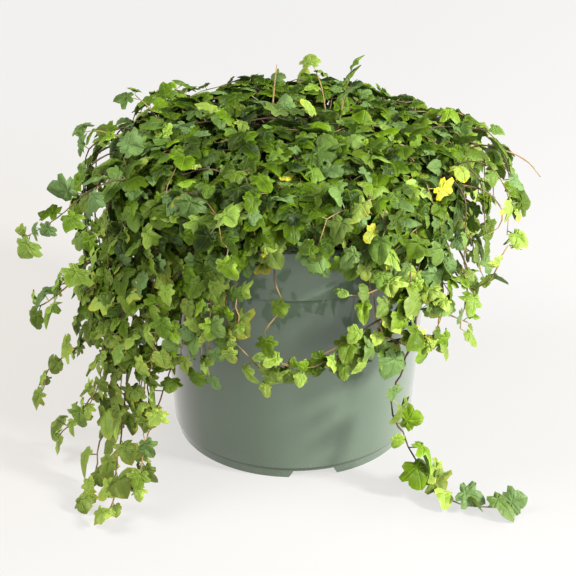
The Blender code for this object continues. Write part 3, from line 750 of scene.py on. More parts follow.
def leaf_material(name, leaves, pale=0.0):
    """Living leaf: its shade, edge and veins set the green, and a sage green dulls some leaves, partly as painted
    sheen. Underneath it is paler and duller.
    """
    material, tree, shader = new_material(name)
    shade, rim, chance = look_values(tree)
    flat = add_node(tree, "UVMap", {"uv_map": "UVMap"}).outputs["UV"]
    veins = place_group(tree, "leaf_veins", vein_group, Map=flat).outputs["Main"]
    patches, specks = place_mottle(tree, 170.0, 900.0)
    edge = times(tree, spread(tree, rim, 0.62, 1.0), 0.15)
    ribs = times(tree, veins, 0.13)
    blotch = times(tree, minus(tree, patches, 0.62), 0.34)
    tone = plus(tree, shade, plus(tree, edge, plus(tree, ribs, blotch)))
    gradient = add_node(tree, "ValToRGB", Fac=tone)
    bands = gradient.color_ramp.elements
    bands[0].position, bands[1].position = 0.0, 1.0
    bands[0].color, bands[1].color = rgba(leaves.deep), rgba(leaves.yellow)
    for position, colour in ((GROWN_SHADE, leaves.middle), (YOUNG_SHADE, leaves.young)):
        bands.new(position).color = rgba(colour)
    colour = lit(tree, gradient.outputs["Color"], spread(tree, chance, 0.0, 1.0, 0.58, 1.30))
    # A dull sage green on some grown leaves: partly their own colour, partly painted sheen
    draw = calculate(tree, "FRACT", times(tree, chance, 7.0))
    still_green = times(tree, spread(tree, shade, 0.66, 0.50), spread(tree, shade, 0.06, 0.34))
    dull_and_sheen = times(tree, spread(tree, draw, 0.42, 0.9, 0.0, 0.8), still_green)
    colour = mixed_colour(tree, dull_and_sheen, colour, rgba(leaves.sage_and_sheen))
    if pale:
        colour = mixed_colour(tree, pale, colour, UNDERSIDE_COLOUR)
    tree.links.new(colour, shader.inputs["Base Color"])
    roughness = spread(tree, specks, 0.3, 0.7, 0.36 + 0.25 * pale, 0.52 + 0.3 * pale)
    tree.links.new(roughness, shader.inputs["Roughness"])
    shader.inputs["Specular IOR Level"].default_value = 0.13
    cells = add_node(tree, "TexVoronoi", {"voronoi_dimensions": "2D"}, Vector=flat, Scale=9.0)
    quilt = minus(tree, minus(tree, 1.0, cells.outputs["Distance"]), times(tree, veins, 0.6))
    height = plus(tree, quilt, times(tree, patches, 0.8))
    add_bump(tree, shader, height, 0.7, 0.8 * MM)
    return material


def stem_material(name, stems, share_of_green=0.0):
    """Thin bark, brown on old stems and tan on young ones."""
    material, tree, shader = new_material(name)
    near_tip = look_values(tree)[0]
    patches, specks = place_mottle(tree, 140.0, 1500.0)
    blotch = minus(tree, times(tree, patches, 0.9), 0.45)
    fresh = spread(tree, plus(tree, near_tip, blotch), 0.15, 0.9)
    colour = mixed_colour(tree, fresh, rgba(stems.woody), rgba(stems.fresh))
    if share_of_green:
        colour = mixed_colour(tree, share_of_green, colour, STALK_COLOUR)
    tree.links.new(colour, shader.inputs["Base Color"])
    tree.links.new(spread(tree, specks, 0.3, 0.7, 0.5, 0.75), shader.inputs["Roughness"])
    add_bump(tree, shader, specks, 0.5, 0.2 * MM)
    return material


def band(tree, height, below, low, high, above):
    """1 between a low and a high height, and falling off smoothly to 0 below and above them."""
    return times(tree, spread(tree, height, below, low), spread(tree, height, above, high))


def plastic_material(pot):
    """Moulded plastic: an even green with a soft sheen, a trace of dust low down, a fine skin, and painted shade
    below the collar's step and above the foot.
    """
    material, tree, shader = new_material("sage_plastic")
    patches, specks = place_mottle(tree, 22.0, 1400.0)
    place = add_node(tree, "TexCoord").outputs["Object"]
    height = add_node(tree, "SeparateXYZ", Vector=place).outputs["Z"]
    tinted = lit(tree, rgba(pot.colour), spread(tree, patches, 0.3, 0.7, 0.94, 1.06))
    low = times(tree, spread(tree, height, DUST_HEIGHT, 0.0), 0.35)
    dust = times(tree, plus(tree, low, 0.03), spread(tree, specks, 0.56, 0.70))
    dusty = mixed_colour(tree, dust, tinted, DUST_COLOUR)
    # Painted shade: dark bands below the collar's step and above the foot, where their shade falls
    under_collar = band(tree, height, COLLAR_START - 1.6 * MM, COLLAR_START - 0.2 * MM,
                        COLLAR_START + 0.2 * MM, COLLAR_START + 0.5 * MM)
    over_foot = band(tree, height, FOOT_HEIGHT - 2.2 * MM, FOOT_HEIGHT - 0.4 * MM,
                     FOOT_HEIGHT + 0.6 * MM, FOOT_HEIGHT + 1.0 * MM)
    step_shade = times(tree, calculate(tree, "MAXIMUM", under_collar, over_foot), 0.6)
    tree.links.new(mixed_colour(tree, step_shade, dusty, STEP_SHADE_COLOUR), shader.inputs["Base Color"])
    tree.links.new(spread(tree, patches, 0.3, 0.7, 0.28, 0.36), shader.inputs["Roughness"])
    shader.inputs["Coat Weight"].default_value = 1.0
    shader.inputs["Coat Roughness"].default_value = 0.04
    shader.inputs["Coat IOR"].default_value = 1.5
    shader.inputs["Specular IOR Level"].default_value = 0.12
    add_bump(tree, shader, specks, 0.06, 0.1 * MM)
    return material


def crumb_material(name, colour, light_share):
    """Dark, rough and crumbly, with lighter fibres."""
    material, tree, shader = new_material(name)
    patches, specks = place_mottle(tree, 260.0, 1100.0)
    fibres = spread(tree, specks, 0.58, 0.66, 0.0, light_share)
    base = mixed_colour(tree, patches, rgba([0.4 * part for part in colour]), rgba([1.8 * part for part in colour]))
    tree.links.new(mixed_colour(tree, fibres, base, FIBRE_COLOUR), shader.inputs["Base Color"])
    shader.inputs["Roughness"].default_value = 0.95
    add_bump(tree, shader, patches, 0.9, 1.2 * MM)
    return material


# Turned bodies
def rounded(profile, radius):
    """The profile with each corner cut to a small arc."""
    points = [Vector(point) for point in profile]
    made = [points[0]]
    for before, corner, after in zip(points, points[1:], points[2:]):
        back, ahead = before - corner, after - corner
        reach = min(radius, 0.4 * back.length, 0.4 * ahead.length)
        first, last = corner + back.normalized() * reach, corner + ahead.normalized() * reach
        made += [first, 0.25 * first + 0.5 * corner + 0.25 * last, last]
    return made + [points[-1]]


def turned_up(name, profile, sides):
    """A turned body: a filled circle, whose rim is extruded from ring to ring along the profile."""
    deselect_all()
    radius, height = profile[0]
    bpy.ops.mesh.primitive_circle_add(
        vertices=sides, radius=radius, fill_type="NGON", location=(0, 0, height),
    )
    piece = active_piece(name)
    in_edit_mode()
    bpy.ops.mesh.select_mode(type="EDGE")
    bpy.ops.mesh.select_all(action="SELECT")
    for next_radius, next_height in profile[1:]:
        bpy.ops.mesh.extrude_edges_move(
            TRANSFORM_OT_translate={"value": (0, 0, next_height - height)},
        )
        share = next_radius / radius
        bpy.ops.transform.resize(value=(share, share, 1), center_override=(0, 0, 0))
        radius, height = next_radius, next_height
    bpy.ops.mesh.edge_face_add()
    bpy.ops.mesh.select_all(action="SELECT")
    bpy.ops.mesh.normals_make_consistent(inside=False)
    in_object_mode()
    settle()
    return piece


def inner_radius(height, wall):
    """The pot's inner wall radius at a height below the collar."""
    share = (height - FOOT_HEIGHT) / (COLLAR_START - FOOT_HEIGHT)
    return BODY_RADIUS_LOW + share * (BODY_RADIUS_HIGH - BODY_RADIUS_LOW) - wall


def pot_profile(pot):
    """The wall's section from under the floor, out over the foot, up to the rim and back down inside."""
    foot = FOOT_RADIUS - FOOT_WALL
    wall, top, rim = pot.wall, pot.height, pot.rim_radius
    return (
        (FLOOR_PAD_RADIUS, 0),
        (FLOOR_PAD_RADIUS + FLOOR_PAD_SLOPE, FLOOR_RISE),
        (foot - FOOT_INNER_SLOPE, FLOOR_RISE),
        (foot, 0),
        (FOOT_RADIUS, 0),
        (FOOT_RADIUS + FOOT_DRAFT, FOOT_HEIGHT),
        (BODY_RADIUS_LOW, FOOT_HEIGHT + FOOT_DRAFT),
        (BODY_RADIUS_HIGH, COLLAR_START),
        (COLLAR_RADIUS_LOW, COLLAR_START + COLLAR_STEP),
        (rim, top - RIM_BEVEL),
        (rim - wall / 2, top),
        (rim - wall, top - RIM_BEVEL),
        (COLLAR_RADIUS_LOW - wall, COLLAR_START + wall),
        (BODY_RADIUS_HIGH - wall, COLLAR_START - wall),
        (inner_radius(FLOOR_TOP + FLOOR_BEVEL, wall), FLOOR_TOP + FLOOR_BEVEL),
        (inner_radius(FLOOR_TOP, wall) - FLOOR_BEVEL, FLOOR_TOP),
        (FLOOR_PAD_RADIUS + FLOOR_PAD_SLOPE - GAP, FLOOR_TOP),
        (FLOOR_PAD_RADIUS - GAP, FLOOR_THICKNESS),
    )


def soil_profile(wall):
    """The mix's section from its middle under the pot's floor to near its middle on top."""
    side_foot = FLOOR_TOP + FLOOR_BEVEL + GAP
    edge = BODY_RADIUS_HIGH - wall
    profile = [
        (FLOOR_PAD_RADIUS - 2 * GAP, FLOOR_THICKNESS + GAP),
        (FLOOR_PAD_RADIUS + FLOOR_PAD_SLOPE - 2 * GAP, FLOOR_TOP + GAP),
        (inner_radius(FLOOR_TOP, wall) - FLOOR_BEVEL - GAP, FLOOR_TOP + GAP),
        (inner_radius(side_foot, wall) - GAP, side_foot),
        (edge - GAP, COLLAR_START - wall),
        (edge, SOIL_EDGE),
    ]
    for number in range(SOIL_RINGS):
        radius = edge * (1 - (number + 1) / (SOIL_RINGS + 1))
        rise = ramp(radius, edge, SOIL_FLAT_RADIUS)
        profile.append((radius, SOIL_EDGE + rise * (SOIL_TOP - SOIL_EDGE)))
    return profile


def notch_cutter(number):
    """A block with sloping ends that cuts a notch up into the foot ring."""
    deselect_all()
    angle = NOTCH_FIRST_DEG + number * 360 / NOTCH_COUNT
    bpy.ops.mesh.primitive_cube_add(size=1, location=(0, -FOOT_RADIUS, 0))
    cutter = active_piece(f"notch_{number}")
    in_edit_mode()
    bpy.ops.transform.resize(value=(NOTCH_WIDTH, NOTCH_DEPTH, 2 * NOTCH_HEIGHT))
    in_object_mode()
    for vertex in cutter.data.vertices:
        vertex.co.x *= 1 - NOTCH_TAPER if vertex.co.z > 0 else 1 + NOTCH_TAPER
    settle()
    cutter.data.transform(Matrix.Rotation(math.radians(angle), 4, "Z"))
    return cutter


def drain_cutter(number):
    """A plain round cutter through the raised part of the pot's floor."""
    deselect_all()
    place = ring_point(NOTCH_FIRST_DEG + (number + 0.5) * 360 / DRAIN_COUNT, DRAIN_RING_RADIUS, FLOOR_RISE)
    bpy.ops.mesh.primitive_cylinder_add(
        vertices=DRAIN_SIDES, radius=DRAIN_RADIUS, depth=DRAIN_DEPTH, location=place,
    )
    cutter = active_piece(f"drain_{number}")
    settle()
    return cutter


def cut_away(piece, cutters):
    for cutter in cutters:
        modifier = piece.modifiers.new("Cut", "BOOLEAN")
        modifier.operation = "DIFFERENCE"
        modifier.solver = "EXACT"
        modifier.object = cutter
    apply_modifiers(piece)
    for cutter in cutters:
        bpy.data.objects.remove(cutter, do_unlink=True)


def smooth_by_angle(piece, degrees):
    pick(piece)
    bpy.ops.object.shade_smooth_by_angle(angle=math.radians(degrees))


# Lines that stems follow
def smooth_line(points, step):
    """Points about one step apart on a smooth curve through the given points."""
    padded = [2 * points[0] - points[1]] + points + [2 * points[-1] - points[-2]]
    made = []
    for p0, p1, p2, p3 in zip(padded, padded[1:], padded[2:], padded[3:]):
        count = max(1, round((p2 - p1).length / step))
        for number in range(count):
            t = number / count
            made.append(
                0.5 * ((2 * p1) + (p2 - p0) * t + (2 * p0 - 5 * p1 + 4 * p2 - p3) * t * t
                       + (3 * p1 - p0 - 3 * p2 + p3) * t ** 3)
            )
    made.append(points[-1])
    return made


def line_of(route):
    return [ring_point(azimuth, radius * MM, height * MM) for azimuth, radius, height in route]


def trail_route(name, turn=0.0, shift=0.0):
    """A trailing stem's points from its root in the mix on, or those of a stem that hangs beside it."""
    azimuth, *below = TRAILS[name]
    azimuth += 0.6 * turn
    rooted = [(azimuth, ROOT_RING_RADIUS / MM, height / MM) for height in (ROOT_BOTTOM, ROOT_NECK)]
    way_out = [(azimuth, radius, height) for radius, height in WAY_OUT]
    hanging = [(place[0] + turn, max(place[1] + shift, 92), place[2]) for place in below]
    return line_of(rooted + way_out + hanging)


def line_length(points):
    return sum((after - before).length for before, after in zip(points, points[1:]))


def cut_line(points, share):
    """The first share of a line."""
    left = share * line_length(points)
    made = [points[0]]
    for before, after in zip(points, points[1:]):
        length = (after - before).length
        if length >= left:
            made.append(before.lerp(after, left / length))
            break
        made.append(after)
        left -= length
    return made


def along_line(points, spacing, start):
    """(place, direction, share of the way) at equal spacings along a line, from a length on, and at its end."""
    total = line_length(points)
    wanted = start
    passed = 0.0
    for before, after in zip(points, points[1:]):
        length = (after - before).length
        while wanted <= passed + length:
            direction = (after - before).normalized()
            yield before.lerp(after, (wanted - passed) / length), direction, wanted / total
            wanted += spacing
        passed += length
    yield points[-1], (points[-1] - points[-2]).normalized(), 1.0


def stem_tube(name, points, root_radius, tip_radius, material, knots=0.0):
    """A round stem along a line, thinner to its tip, with a knot at every other point."""
    curve = bpy.data.curves.new(name, "CURVE")
    curve.dimensions = "3D"
    curve.bevel_depth = 1.0
    curve.bevel_resolution = 1
    curve.use_fill_caps = True
    spline = curve.splines.new("POLY")
    spline.points.add(len(points) - 1)
    for number, (place, point) in enumerate(zip(spline.points, points)):
        share = number / (len(points) - 1)
        place.co = (*point, 1.0)
        place.radius = (root_radius + (tip_radius - root_radius) * share) * (1 + knots * (number % 2))
    stem = bpy.data.objects.new(name, curve)
    bpy.context.scene.collection.objects.link(stem)
    pick(stem)
    bpy.ops.object.convert(target="MESH")
    stem = active_piece(name)
    stem.data.materials.clear()
    stem.data.materials.append(material)
    in_edit_mode()
    bpy.ops.mesh.select_all(action="SELECT")
    bpy.ops.mesh.remove_doubles(threshold=0.005 * MM)
    bpy.ops.mesh.normals_make_consistent(inside=False)
    in_object_mode()
    bpy.ops.object.shade_smooth()
    from_tip = np.linalg.norm(coordinates(stem) - np.array(points[-1]), axis=1)
    look = np.zeros((len(from_tip), 3), np.float32)
    look[:, 0] = np.clip(1 - from_tip / YOUNG_END, 0, 1)
    stem.data.attributes.new("look", "FLOAT_VECTOR", "POINT").data.foreach_set("vector", look.ravel())
    return stem


# Leaves
class Template(NamedTuple):
    """One leaf shape: its object, its blade's and stalk's points, and how near each point is to the rim."""

    obj: bpy.types.Object
    blade: np.ndarray
    stalk: np.ndarray
    points: np.ndarray
    rim: np.ndarray


class Leaf(NamedTuple):
    """Where one leaf goes: from its stalk's root to the blade's heart, and how the blade lies."""

    root: Vector
    heart: Vector
    towards: Vector
    face: Vector
    size: float
    shade: float


def leaf_outline(kind):
    """The outline of one kind of leaf, round from the notch at its base."""
    width, lobe, tip, lean = kind
    right = []
    for number, (x, y) in enumerate(LEAF_HALF):
        stretch = lobe if number in LEAF_LOBES else 1.0
        right.append((x * width * stretch, y * (tip if y > 0.6 else 1.0)))
    left = [(-x * (1 - 2 * lean), y + lean * x) for x, y in reversed(right)]
    right = [(x * (1 + 2 * lean), y - lean * x) for x, y in right]
    return np.array([LEAF_NOTCH, *right, (LEAF_TIP[0] + lean, LEAF_TIP[1] * tip), *left]) - np.array(LEAF_HEART)


def model_leaf(number, kind, materials):
    """A leaf: a fan whose faces are inset for the upper side, closed below, and a three-sided stalk."""
    deselect_all()
    bpy.ops.mesh.primitive_circle_add(vertices=LEAF_POINTS, radius=1, fill_type="TRIFAN")
    leaf = active_piece(f"leaf_{number}")
    in_edit_mode()
    bpy.ops.mesh.select_mode(type="FACE")
    bpy.ops.mesh.select_all(action="SELECT")
    bpy.ops.mesh.inset(thickness=1 - LEAF_RING_SHARE, depth=0, use_boundary=True)
    bpy.ops.transform.translate(value=(0, 0, BLADE_RISE))
    bpy.ops.mesh.select_mode(type="EDGE")
    bpy.ops.mesh.select_all(action="DESELECT")
    bpy.ops.mesh.select_non_manifold(extend=False)
    bpy.ops.mesh.extrude_edges_move(TRANSFORM_OT_translate={"value": (0, 0, -BLADE_RISE)})
    bpy.ops.mesh.merge(type="CENTER")
    bpy.ops.mesh.select_all(action="SELECT")
    bpy.ops.mesh.normals_make_consistent(inside=False)
    bpy.ops.mesh.primitive_cylinder_add(
        vertices=STALK_SIDES, radius=1, depth=1, end_fill_type="NGON", location=(0, 0, STALK_FLOOR + 0.5),
    )
    in_object_mode()
    flat = coordinates(leaf)
    stalk = flat[:, 2] < STALK_FLOOR + 1.1
    around = np.round(np.arctan2(flat[:, 0], -flat[:, 1]) / math.tau * LEAF_POINTS).astype(int) % LEAF_POINTS
    reach = np.hypot(flat[:, 0], flat[:, 1])
    outline = leaf_outline(kind)
    rim = np.where(reach > 0.9, 1.0, np.where(reach > 0.1, LEAF_RING_SHARE, 0.0))
    blade = ~stalk
    flat[blade, 0] = outline[around[blade], 0] * rim[blade]
    flat[blade, 1] = outline[around[blade], 1] * rim[blade]
    upper = blade & (flat[:, 2] > BLADE_RISE / 2)
    between_veins = ~np.isin(around, LEAF_VEINED)
    flat[upper & between_veins & (rim > 0), 2] += BLISTER_RISE
    set_coordinates(leaf, flat)
    leaf.data.materials.clear()
    for material in materials:
        leaf.data.materials.append(material)
    for face in leaf.data.polygons:
        corners = list(face.vertices)
        if stalk[corners[0]]:
            face.material_index = 2
        elif flat[corners, 2].min() < -BLADE_RISE / 2:
            face.material_index = 1
    layer = leaf.data.uv_layers.get("UVMap") or leaf.data.uv_layers.new(name="UVMap")
    corners = np.empty(len(leaf.data.loops), np.int32)
    leaf.data.loops.foreach_get("vertex_index", corners)
    spots = np.stack((0.5 + 0.5 * flat[corners, 0], 0.3 + 0.5 * flat[corners, 1]), axis=1)
    layer.data.foreach_set("uv", np.clip(spots, 0, 1).astype(np.float32).ravel())
    leaf.data.attributes.new("look", "FLOAT_VECTOR", "POINT")
    smooth_by_angle(leaf, 60)
    return Template(leaf, np.flatnonzero(blade), np.flatnonzero(stalk), flat, rim)


def basis(towards, face):
    """Axes across, along and out of a blade that points one way and faces another."""
    along = towards.normalized()
    across = along.cross(face).normalized()
    return np.array((across, along, across.cross(along)))


def placed_leaf(template, leaf, rng):
    """A copy of a leaf shape with its own folds, in its place."""
    obj = template.obj.copy()
    obj.data = template.obj.data.copy()
    bpy.context.scene.collection.objects.link(obj)
    points = template.points.copy()
    x, y, z = points[template.blade].T
    fold, cup, droop, twist, wave = (rng.uniform(*bend) for bend in (FOLD, CUP, DROOP, TWIST, WAVE))
    phase = rng.uniform(0, math.tau)
    z = (z + fold * np.abs(x) - cup * (x * x + y * y) - droop * y * np.abs(y) + twist * x * y
         + wave * np.sin(WAVES_ROUND * np.arctan2(x, y) + phase) * template.rim[template.blade])
    blade = np.stack((x, y, z), axis=1) * leaf.size
    points[template.blade] = blade @ basis(leaf.towards, leaf.face) + np.array(leaf.heart)
    lift = max(0.0, FLOOR_GAP - points[template.blade, 2].min())
    points[template.blade, 2] += lift
    reach = leaf.heart + UP * lift - leaf.root
    x, y, z = points[template.stalk].T
    thickness = STALK_THICKNESS[0] * leaf.size + STALK_THICKNESS[1]
    sides = basis(reach, UP if abs(reach.normalized().z) < 0.9 else Vector((1, 0, 0)))
    stalk = np.stack((x * thickness, (z - STALK_FLOOR) * reach.length, y * thickness), axis=1)
    points[template.stalk] = stalk @ sides + np.array(leaf.root)
    set_coordinates(obj, points)
    look = np.empty((len(points), 3), np.float32)
    look[:, 0] = leaf.shade
    look[:, 1] = template.rim
    look[:, 2] = rng.random()
    obj.data.attributes["look"].data.foreach_set("vector", look.ravel())
    return obj


def some_direction(rng):
    """An even random direction."""
    height = rng.uniform(-1, 1)
    angle = rng.uniform(0, math.tau)
    reach = math.sqrt(1 - height * height)
    return Vector((reach * math.cos(angle), reach * math.sin(angle), height))


def leaning(weights, ways, rng):
    """A direction made of ways by their weights, with some chance in it."""
    ways = {"up": UP, "any": some_direction(rng), **ways}
    return sum((ways[name] * weight for name, weight in weights.items()), Vector())


def stem_leaf(place, along, side, outward, size, shade, rng):
    """A leaf beside a stem: its stalk leans out, and its blade hangs from it and turns to the light."""
    ways = {"along": along, "side": side, "outward": outward}
    ways["stalk"] = leaning(STALK_WAYS, ways, rng).normalized()
    heart = place + ways["stalk"] * size * rng.uniform(*STALK_LENGTHS)
    face = leaning(FACE_WAYS, ways, rng)
    towards = leaning(TIP_WAYS, ways, rng)
    if abs(towards.normalized().dot(face.normalized())) > 0.9:
        face = face + UP
    face = face - towards.normalized() * face.dot(towards.normalized()) * 0.8
    return Leaf(place, heart, towards, face, size, shade)


def draw_shade(shades, rng):
    """A leaf's shade by chance from a table of shades."""
    draw = rng.random()
    deepest, lightest = next((low, high) for up_to, low, high in shades if draw < up_to)
    return rng.uniform(deepest, lightest)


def lightened(shade, height, to_tip, lighter):
    """A leaf's shade where it hangs, with its stem's painted light. A yellow leaf keeps its own, and no other leaf
    turns yellow.
    """
    low_down = ramp(height, *LOW_HEIGHTS)
    least, growing = OWN_PAINTED_LIGHT
    # A stem's own lightening is painted light, stronger towards the floor
    own = lighter * (least + growing * ramp(height, *FLOOR_HEIGHTS))
    wanted = shade + own + TIP_LIGHTER * to_tip + LOW_LIGHTER * low_down
    return max(min(shade, DEEP_SHADE), min(max(shade, LIGHTEST_GREEN), wanted))


class Growth(NamedTuple):
    """How a stem grows: its leaves' usual size, spacing and shades, where they start, where it is bare, and the
    painted light on its leaves.
    """

    size: float
    spacing: float
    start: float
    shades: tuple
    stem_radius: float
    bare: tuple = ()
    lighter: float = 0.0


class Shoot(NamedTuple):
    """The least and the most length and rise of a kind of shoot, and its leaves' spacing, all in mm."""

    length: tuple
    rise: tuple
    spacing: float


LOOSE_SHOOT = Shoot(length=(48, 76), rise=(4, 16), spacing=7)
CLOSE_SHOOT = Shoot(length=(30, 58), rise=(-1, 5), spacing=5.6)


class Makings(NamedTuple):
    """What an operator makes its stems and leaves from."""

    bark: bpy.types.Material
    templates: list
    rng: random.Random


def leafy_stem(name, points, growth, makings):
    """A stem and its leaves, left and right by turns, as one object. Nothing grows on its bare stretches."""
    rng = makings.rng
    radius = growth.stem_radius
    parts = [stem_tube(name, points, radius, 0.5 * radius, makings.bark, STEM_KNOTS)]
    hand = rng.choice((-1, 1))
    for place, along, share in along_line(points, growth.spacing, growth.start):
        hand = -hand
        if share < 1 and (rng.random() < MISSING_LEAVES or any(low < share < high for low, high in growth.bare)):
            continue
        outward = nearest_on_shell(place)[1]
        side = along.cross(outward)
        side = (side.normalized() if side.length > NO_SIDE_LENGTH else UP.cross(outward)) * hand
        to_tip = ramp(share, TIP_START, 1.0)
        size = growth.size * rng.uniform(*LEAF_SIZES) * (1 - TIP_SHRINKAGE * to_tip)
        shade = lightened(draw_shade(growth.shades, rng), place.z, to_tip, growth.lighter)
        if shade > YELLOW_FROM:
            size *= YELLOW_SIZE
        leaf = stem_leaf(place, along, side, outward, size, shade, rng)
        parts.append(placed_leaf(rng.choice(makings.templates), above_floor(leaf), rng))
    return joined(name, parts)


def above_floor(leaf):
    """The leaf, raised where it would reach below the floor."""
    lowest = leaf.heart.z + min(0.0, leaf.towards.normalized().z) * leaf.size * 0.9
    lift = max(0.0, TIP_GAP - lowest)
    if not lift:
        return leaf
    heart = leaf.heart + UP * min(lift, MOST_LIFT)
    towards = Vector((leaf.towards.x, leaf.towards.y, max(leaf.towards.z, STEEPEST)))
    return leaf._replace(heart=heart, towards=towards, face=leaf.face + UP * 0.5)


# The head's surface
def by_azimuth(point, table):
    """A table's value in millimetres at the azimuth of a point, in metres."""
    degrees, values = zip(*table)
    return float(np.interp(math.degrees(math.atan2(point.x, -point.y)), degrees, values)) * MM


def swell(point):
    """How much higher the head stands at a point than the plain shell."""
    return by_azimuth(point, SWELL) * ramp(point.z, *SWELL_HEIGHTS)


def nearest_on_shell(point):
    """(point on the shell, outward direction) nearest to a point, in metres."""
    azimuth_way = Vector((point.x, point.y, 0))
    azimuth_way = azimuth_way.normalized() if azimuth_way.length > 1e-6 else Vector((1, 0, 0))
    lift, girth = swell(point), by_azimuth(point, GIRTH)
    flat = Vector((math.hypot(point.x, point.y) - girth, point.z - lift))
    best = None
    for low, high in zip(SHELL, SHELL[1:]):
        low, high = Vector(low) * MM, Vector(high) * MM
        edge = high - low
        share = min(1.0, max(0.0, (flat - low).dot(edge) / edge.length_squared))
        spot = low + edge * share
        distance = (flat - spot).length
        if best is None or distance < best[0]:
            best = (distance, spot, Vector((edge.y, -edge.x)).normalized())
    _, spot, normal = best
    reach = max(0.0, spot.x + girth * min(1.0, spot.x / SOIL_FLAT_RADIUS))
    return azimuth_way * reach + UP * (spot.y + lift), azimuth_way * normal.x + UP * normal.y


def even_places(count, lowest):
    """Points evenly spread over the shell above a height."""
    edges = []
    for low, high in zip(SHELL, SHELL[1:]):
        if low[1] >= lowest:
            length = math.dist(low, high)
            edges.append((math.pi * (low[0] + high[0]) * length, low, high))
    total = sum(area for area, _, _ in edges)
    for number in range(count):
        left = (number + 0.5) / count * total
        for area, low, high in edges:
            if left <= area:
                radius, height = Vector(low).lerp(Vector(high), left / area) * MM
                angle = number * GOLDEN_ANGLE
                yield Vector((radius * math.sin(angle), -radius * math.cos(angle), height))
                break
            left -= area


def shoot_line(start, heading, length, rise, loose, rng):
    """A shoot's line: it leaves the tangle, arches over the head and droops, and a loose one stands off."""
    count = max(4, round(length / STEM_STEP))
    point = start
    made = []
    for number in range(count + 1):
        spot, out = nearest_on_shell(point)
        share = number / count
        arch = min(1.0, 0.35 + 1.3 * share) if loose else math.sin(math.pi * (0.15 + 0.75 * share)) ** 0.7
        waver = SHOOT_WAVER * noise.noise(spot * SHOOT_WAVER_SCALE)
        offset = -SHOOT_DEPTH + (rise + SHOOT_DEPTH) * arch + waver
        point = spot + out * offset
        if point.z < by_azimuth(point, HEM) and number > 3:
            break
        made.append(point)
        heading = heading - UP * SHOOT_DROOP + some_direction(rng) * SHOOT_WANDER
        heading = (heading - out * heading.dot(out)).normalized()
        point = point + heading * STEM_STEP
    return made


def fall_line(fall, rng):
    """A line out of the crown, over its shoulder and down beside it."""
    azimuth, reach, lowest, _ = fall
    crest = FALL_CREST + 0.3 * (reach - FALL_REACH)
    way = rng.choice((-1, 1)) * rng.uniform(2, 6)
    route = [
        (azimuth - 2 * way, 66, 164),
        (azimuth - way, 80, crest - 4),
        (azimuth, 0.5 * (80 + reach), crest),
        (azimuth, reach - 3, crest - 9),
        (azimuth + rng.uniform(-2, 2), reach, crest - 26),
    ]
    height = crest - 46
    while height > lowest:
        route.append((azimuth + rng.uniform(-2, 2), reach + rng.uniform(-2, 3), height))
        height -= FALL_STEP
    route.append((azimuth + rng.uniform(-2, 2), reach + rng.uniform(0, 4), lowest))
    return smooth_line(line_of(route), STEM_STEP)


def gather_makings(scene, seed):
    """The bark, the leaf shapes and the chance that a group of pieces is made with."""
    leaves, stems = scene.plant_leaves, scene.plant_stems
    materials = (
        leaf_material("leaf_upper", leaves),
        leaf_material("leaf_underside", leaves, PALE_SHARE),
        stem_material("leaf_stalk", stems, STALK_GREENNESS),
    )
    bark = stem_material("stem_bark", stems)
    templates = [model_leaf(number, kind, materials) for number, kind in enumerate(LEAF_KINDS)]
    return Makings(bark, templates, random.Random(seed))


def remove_templates(makings):
    for template in makings.templates:
        bpy.data.objects.remove(template.obj, do_unlink=True)


class PLANT_OT_pot(bpy.types.Operator):
    """Make the plastic nursery pot"""

    bl_idname = "plant.pot"
    bl_label = "Nursery pot"

    def execute(self, context):
        pot = context.scene.plant_pot
        piece = turned_up("nursery_pot", rounded(pot_profile(pot), CORNER_RADIUS), pot.sides)
        cutters = [notch_cutter(number) for number in range(NOTCH_COUNT)]
        cutters += [drain_cutter(number) for number in range(DRAIN_COUNT)]
        cut_away(piece, cutters)
        smooth_by_angle(piece, POT_SHARP_DEG)
        piece.data.materials.append(plastic_material(pot))
        keep_piece(piece, "pot_plastic", "pot")
        return {"FINISHED"}


class PLANT_OT_soil(bpy.types.Operator):
    """Make the potting mix"""

    bl_idname = "plant.soil"
    bl_label = "Potting mix"

    def execute(self, context):
        pot = context.scene.plant_pot
        piece = turned_up("potting_mix", soil_profile(pot.wall), SOIL_SIDES)
        points = coordinates(piece)
        for number, point in enumerate(points):
            if point[2] > SOIL_EDGE + 0.2 * MM:
                points[number, 2] += sum(
                    height * noise.noise(Vector(point) * scale) for height, scale in SOIL_LUMPS
                )
        set_coordinates(piece, points)
        smooth_by_angle(piece, 50)
        piece.data.materials.append(crumb_material("crumbly_mix", pot.soil_colour, 0.7))
        keep_piece(piece, "potting_mix", "soil")
        return {"FINISHED"}


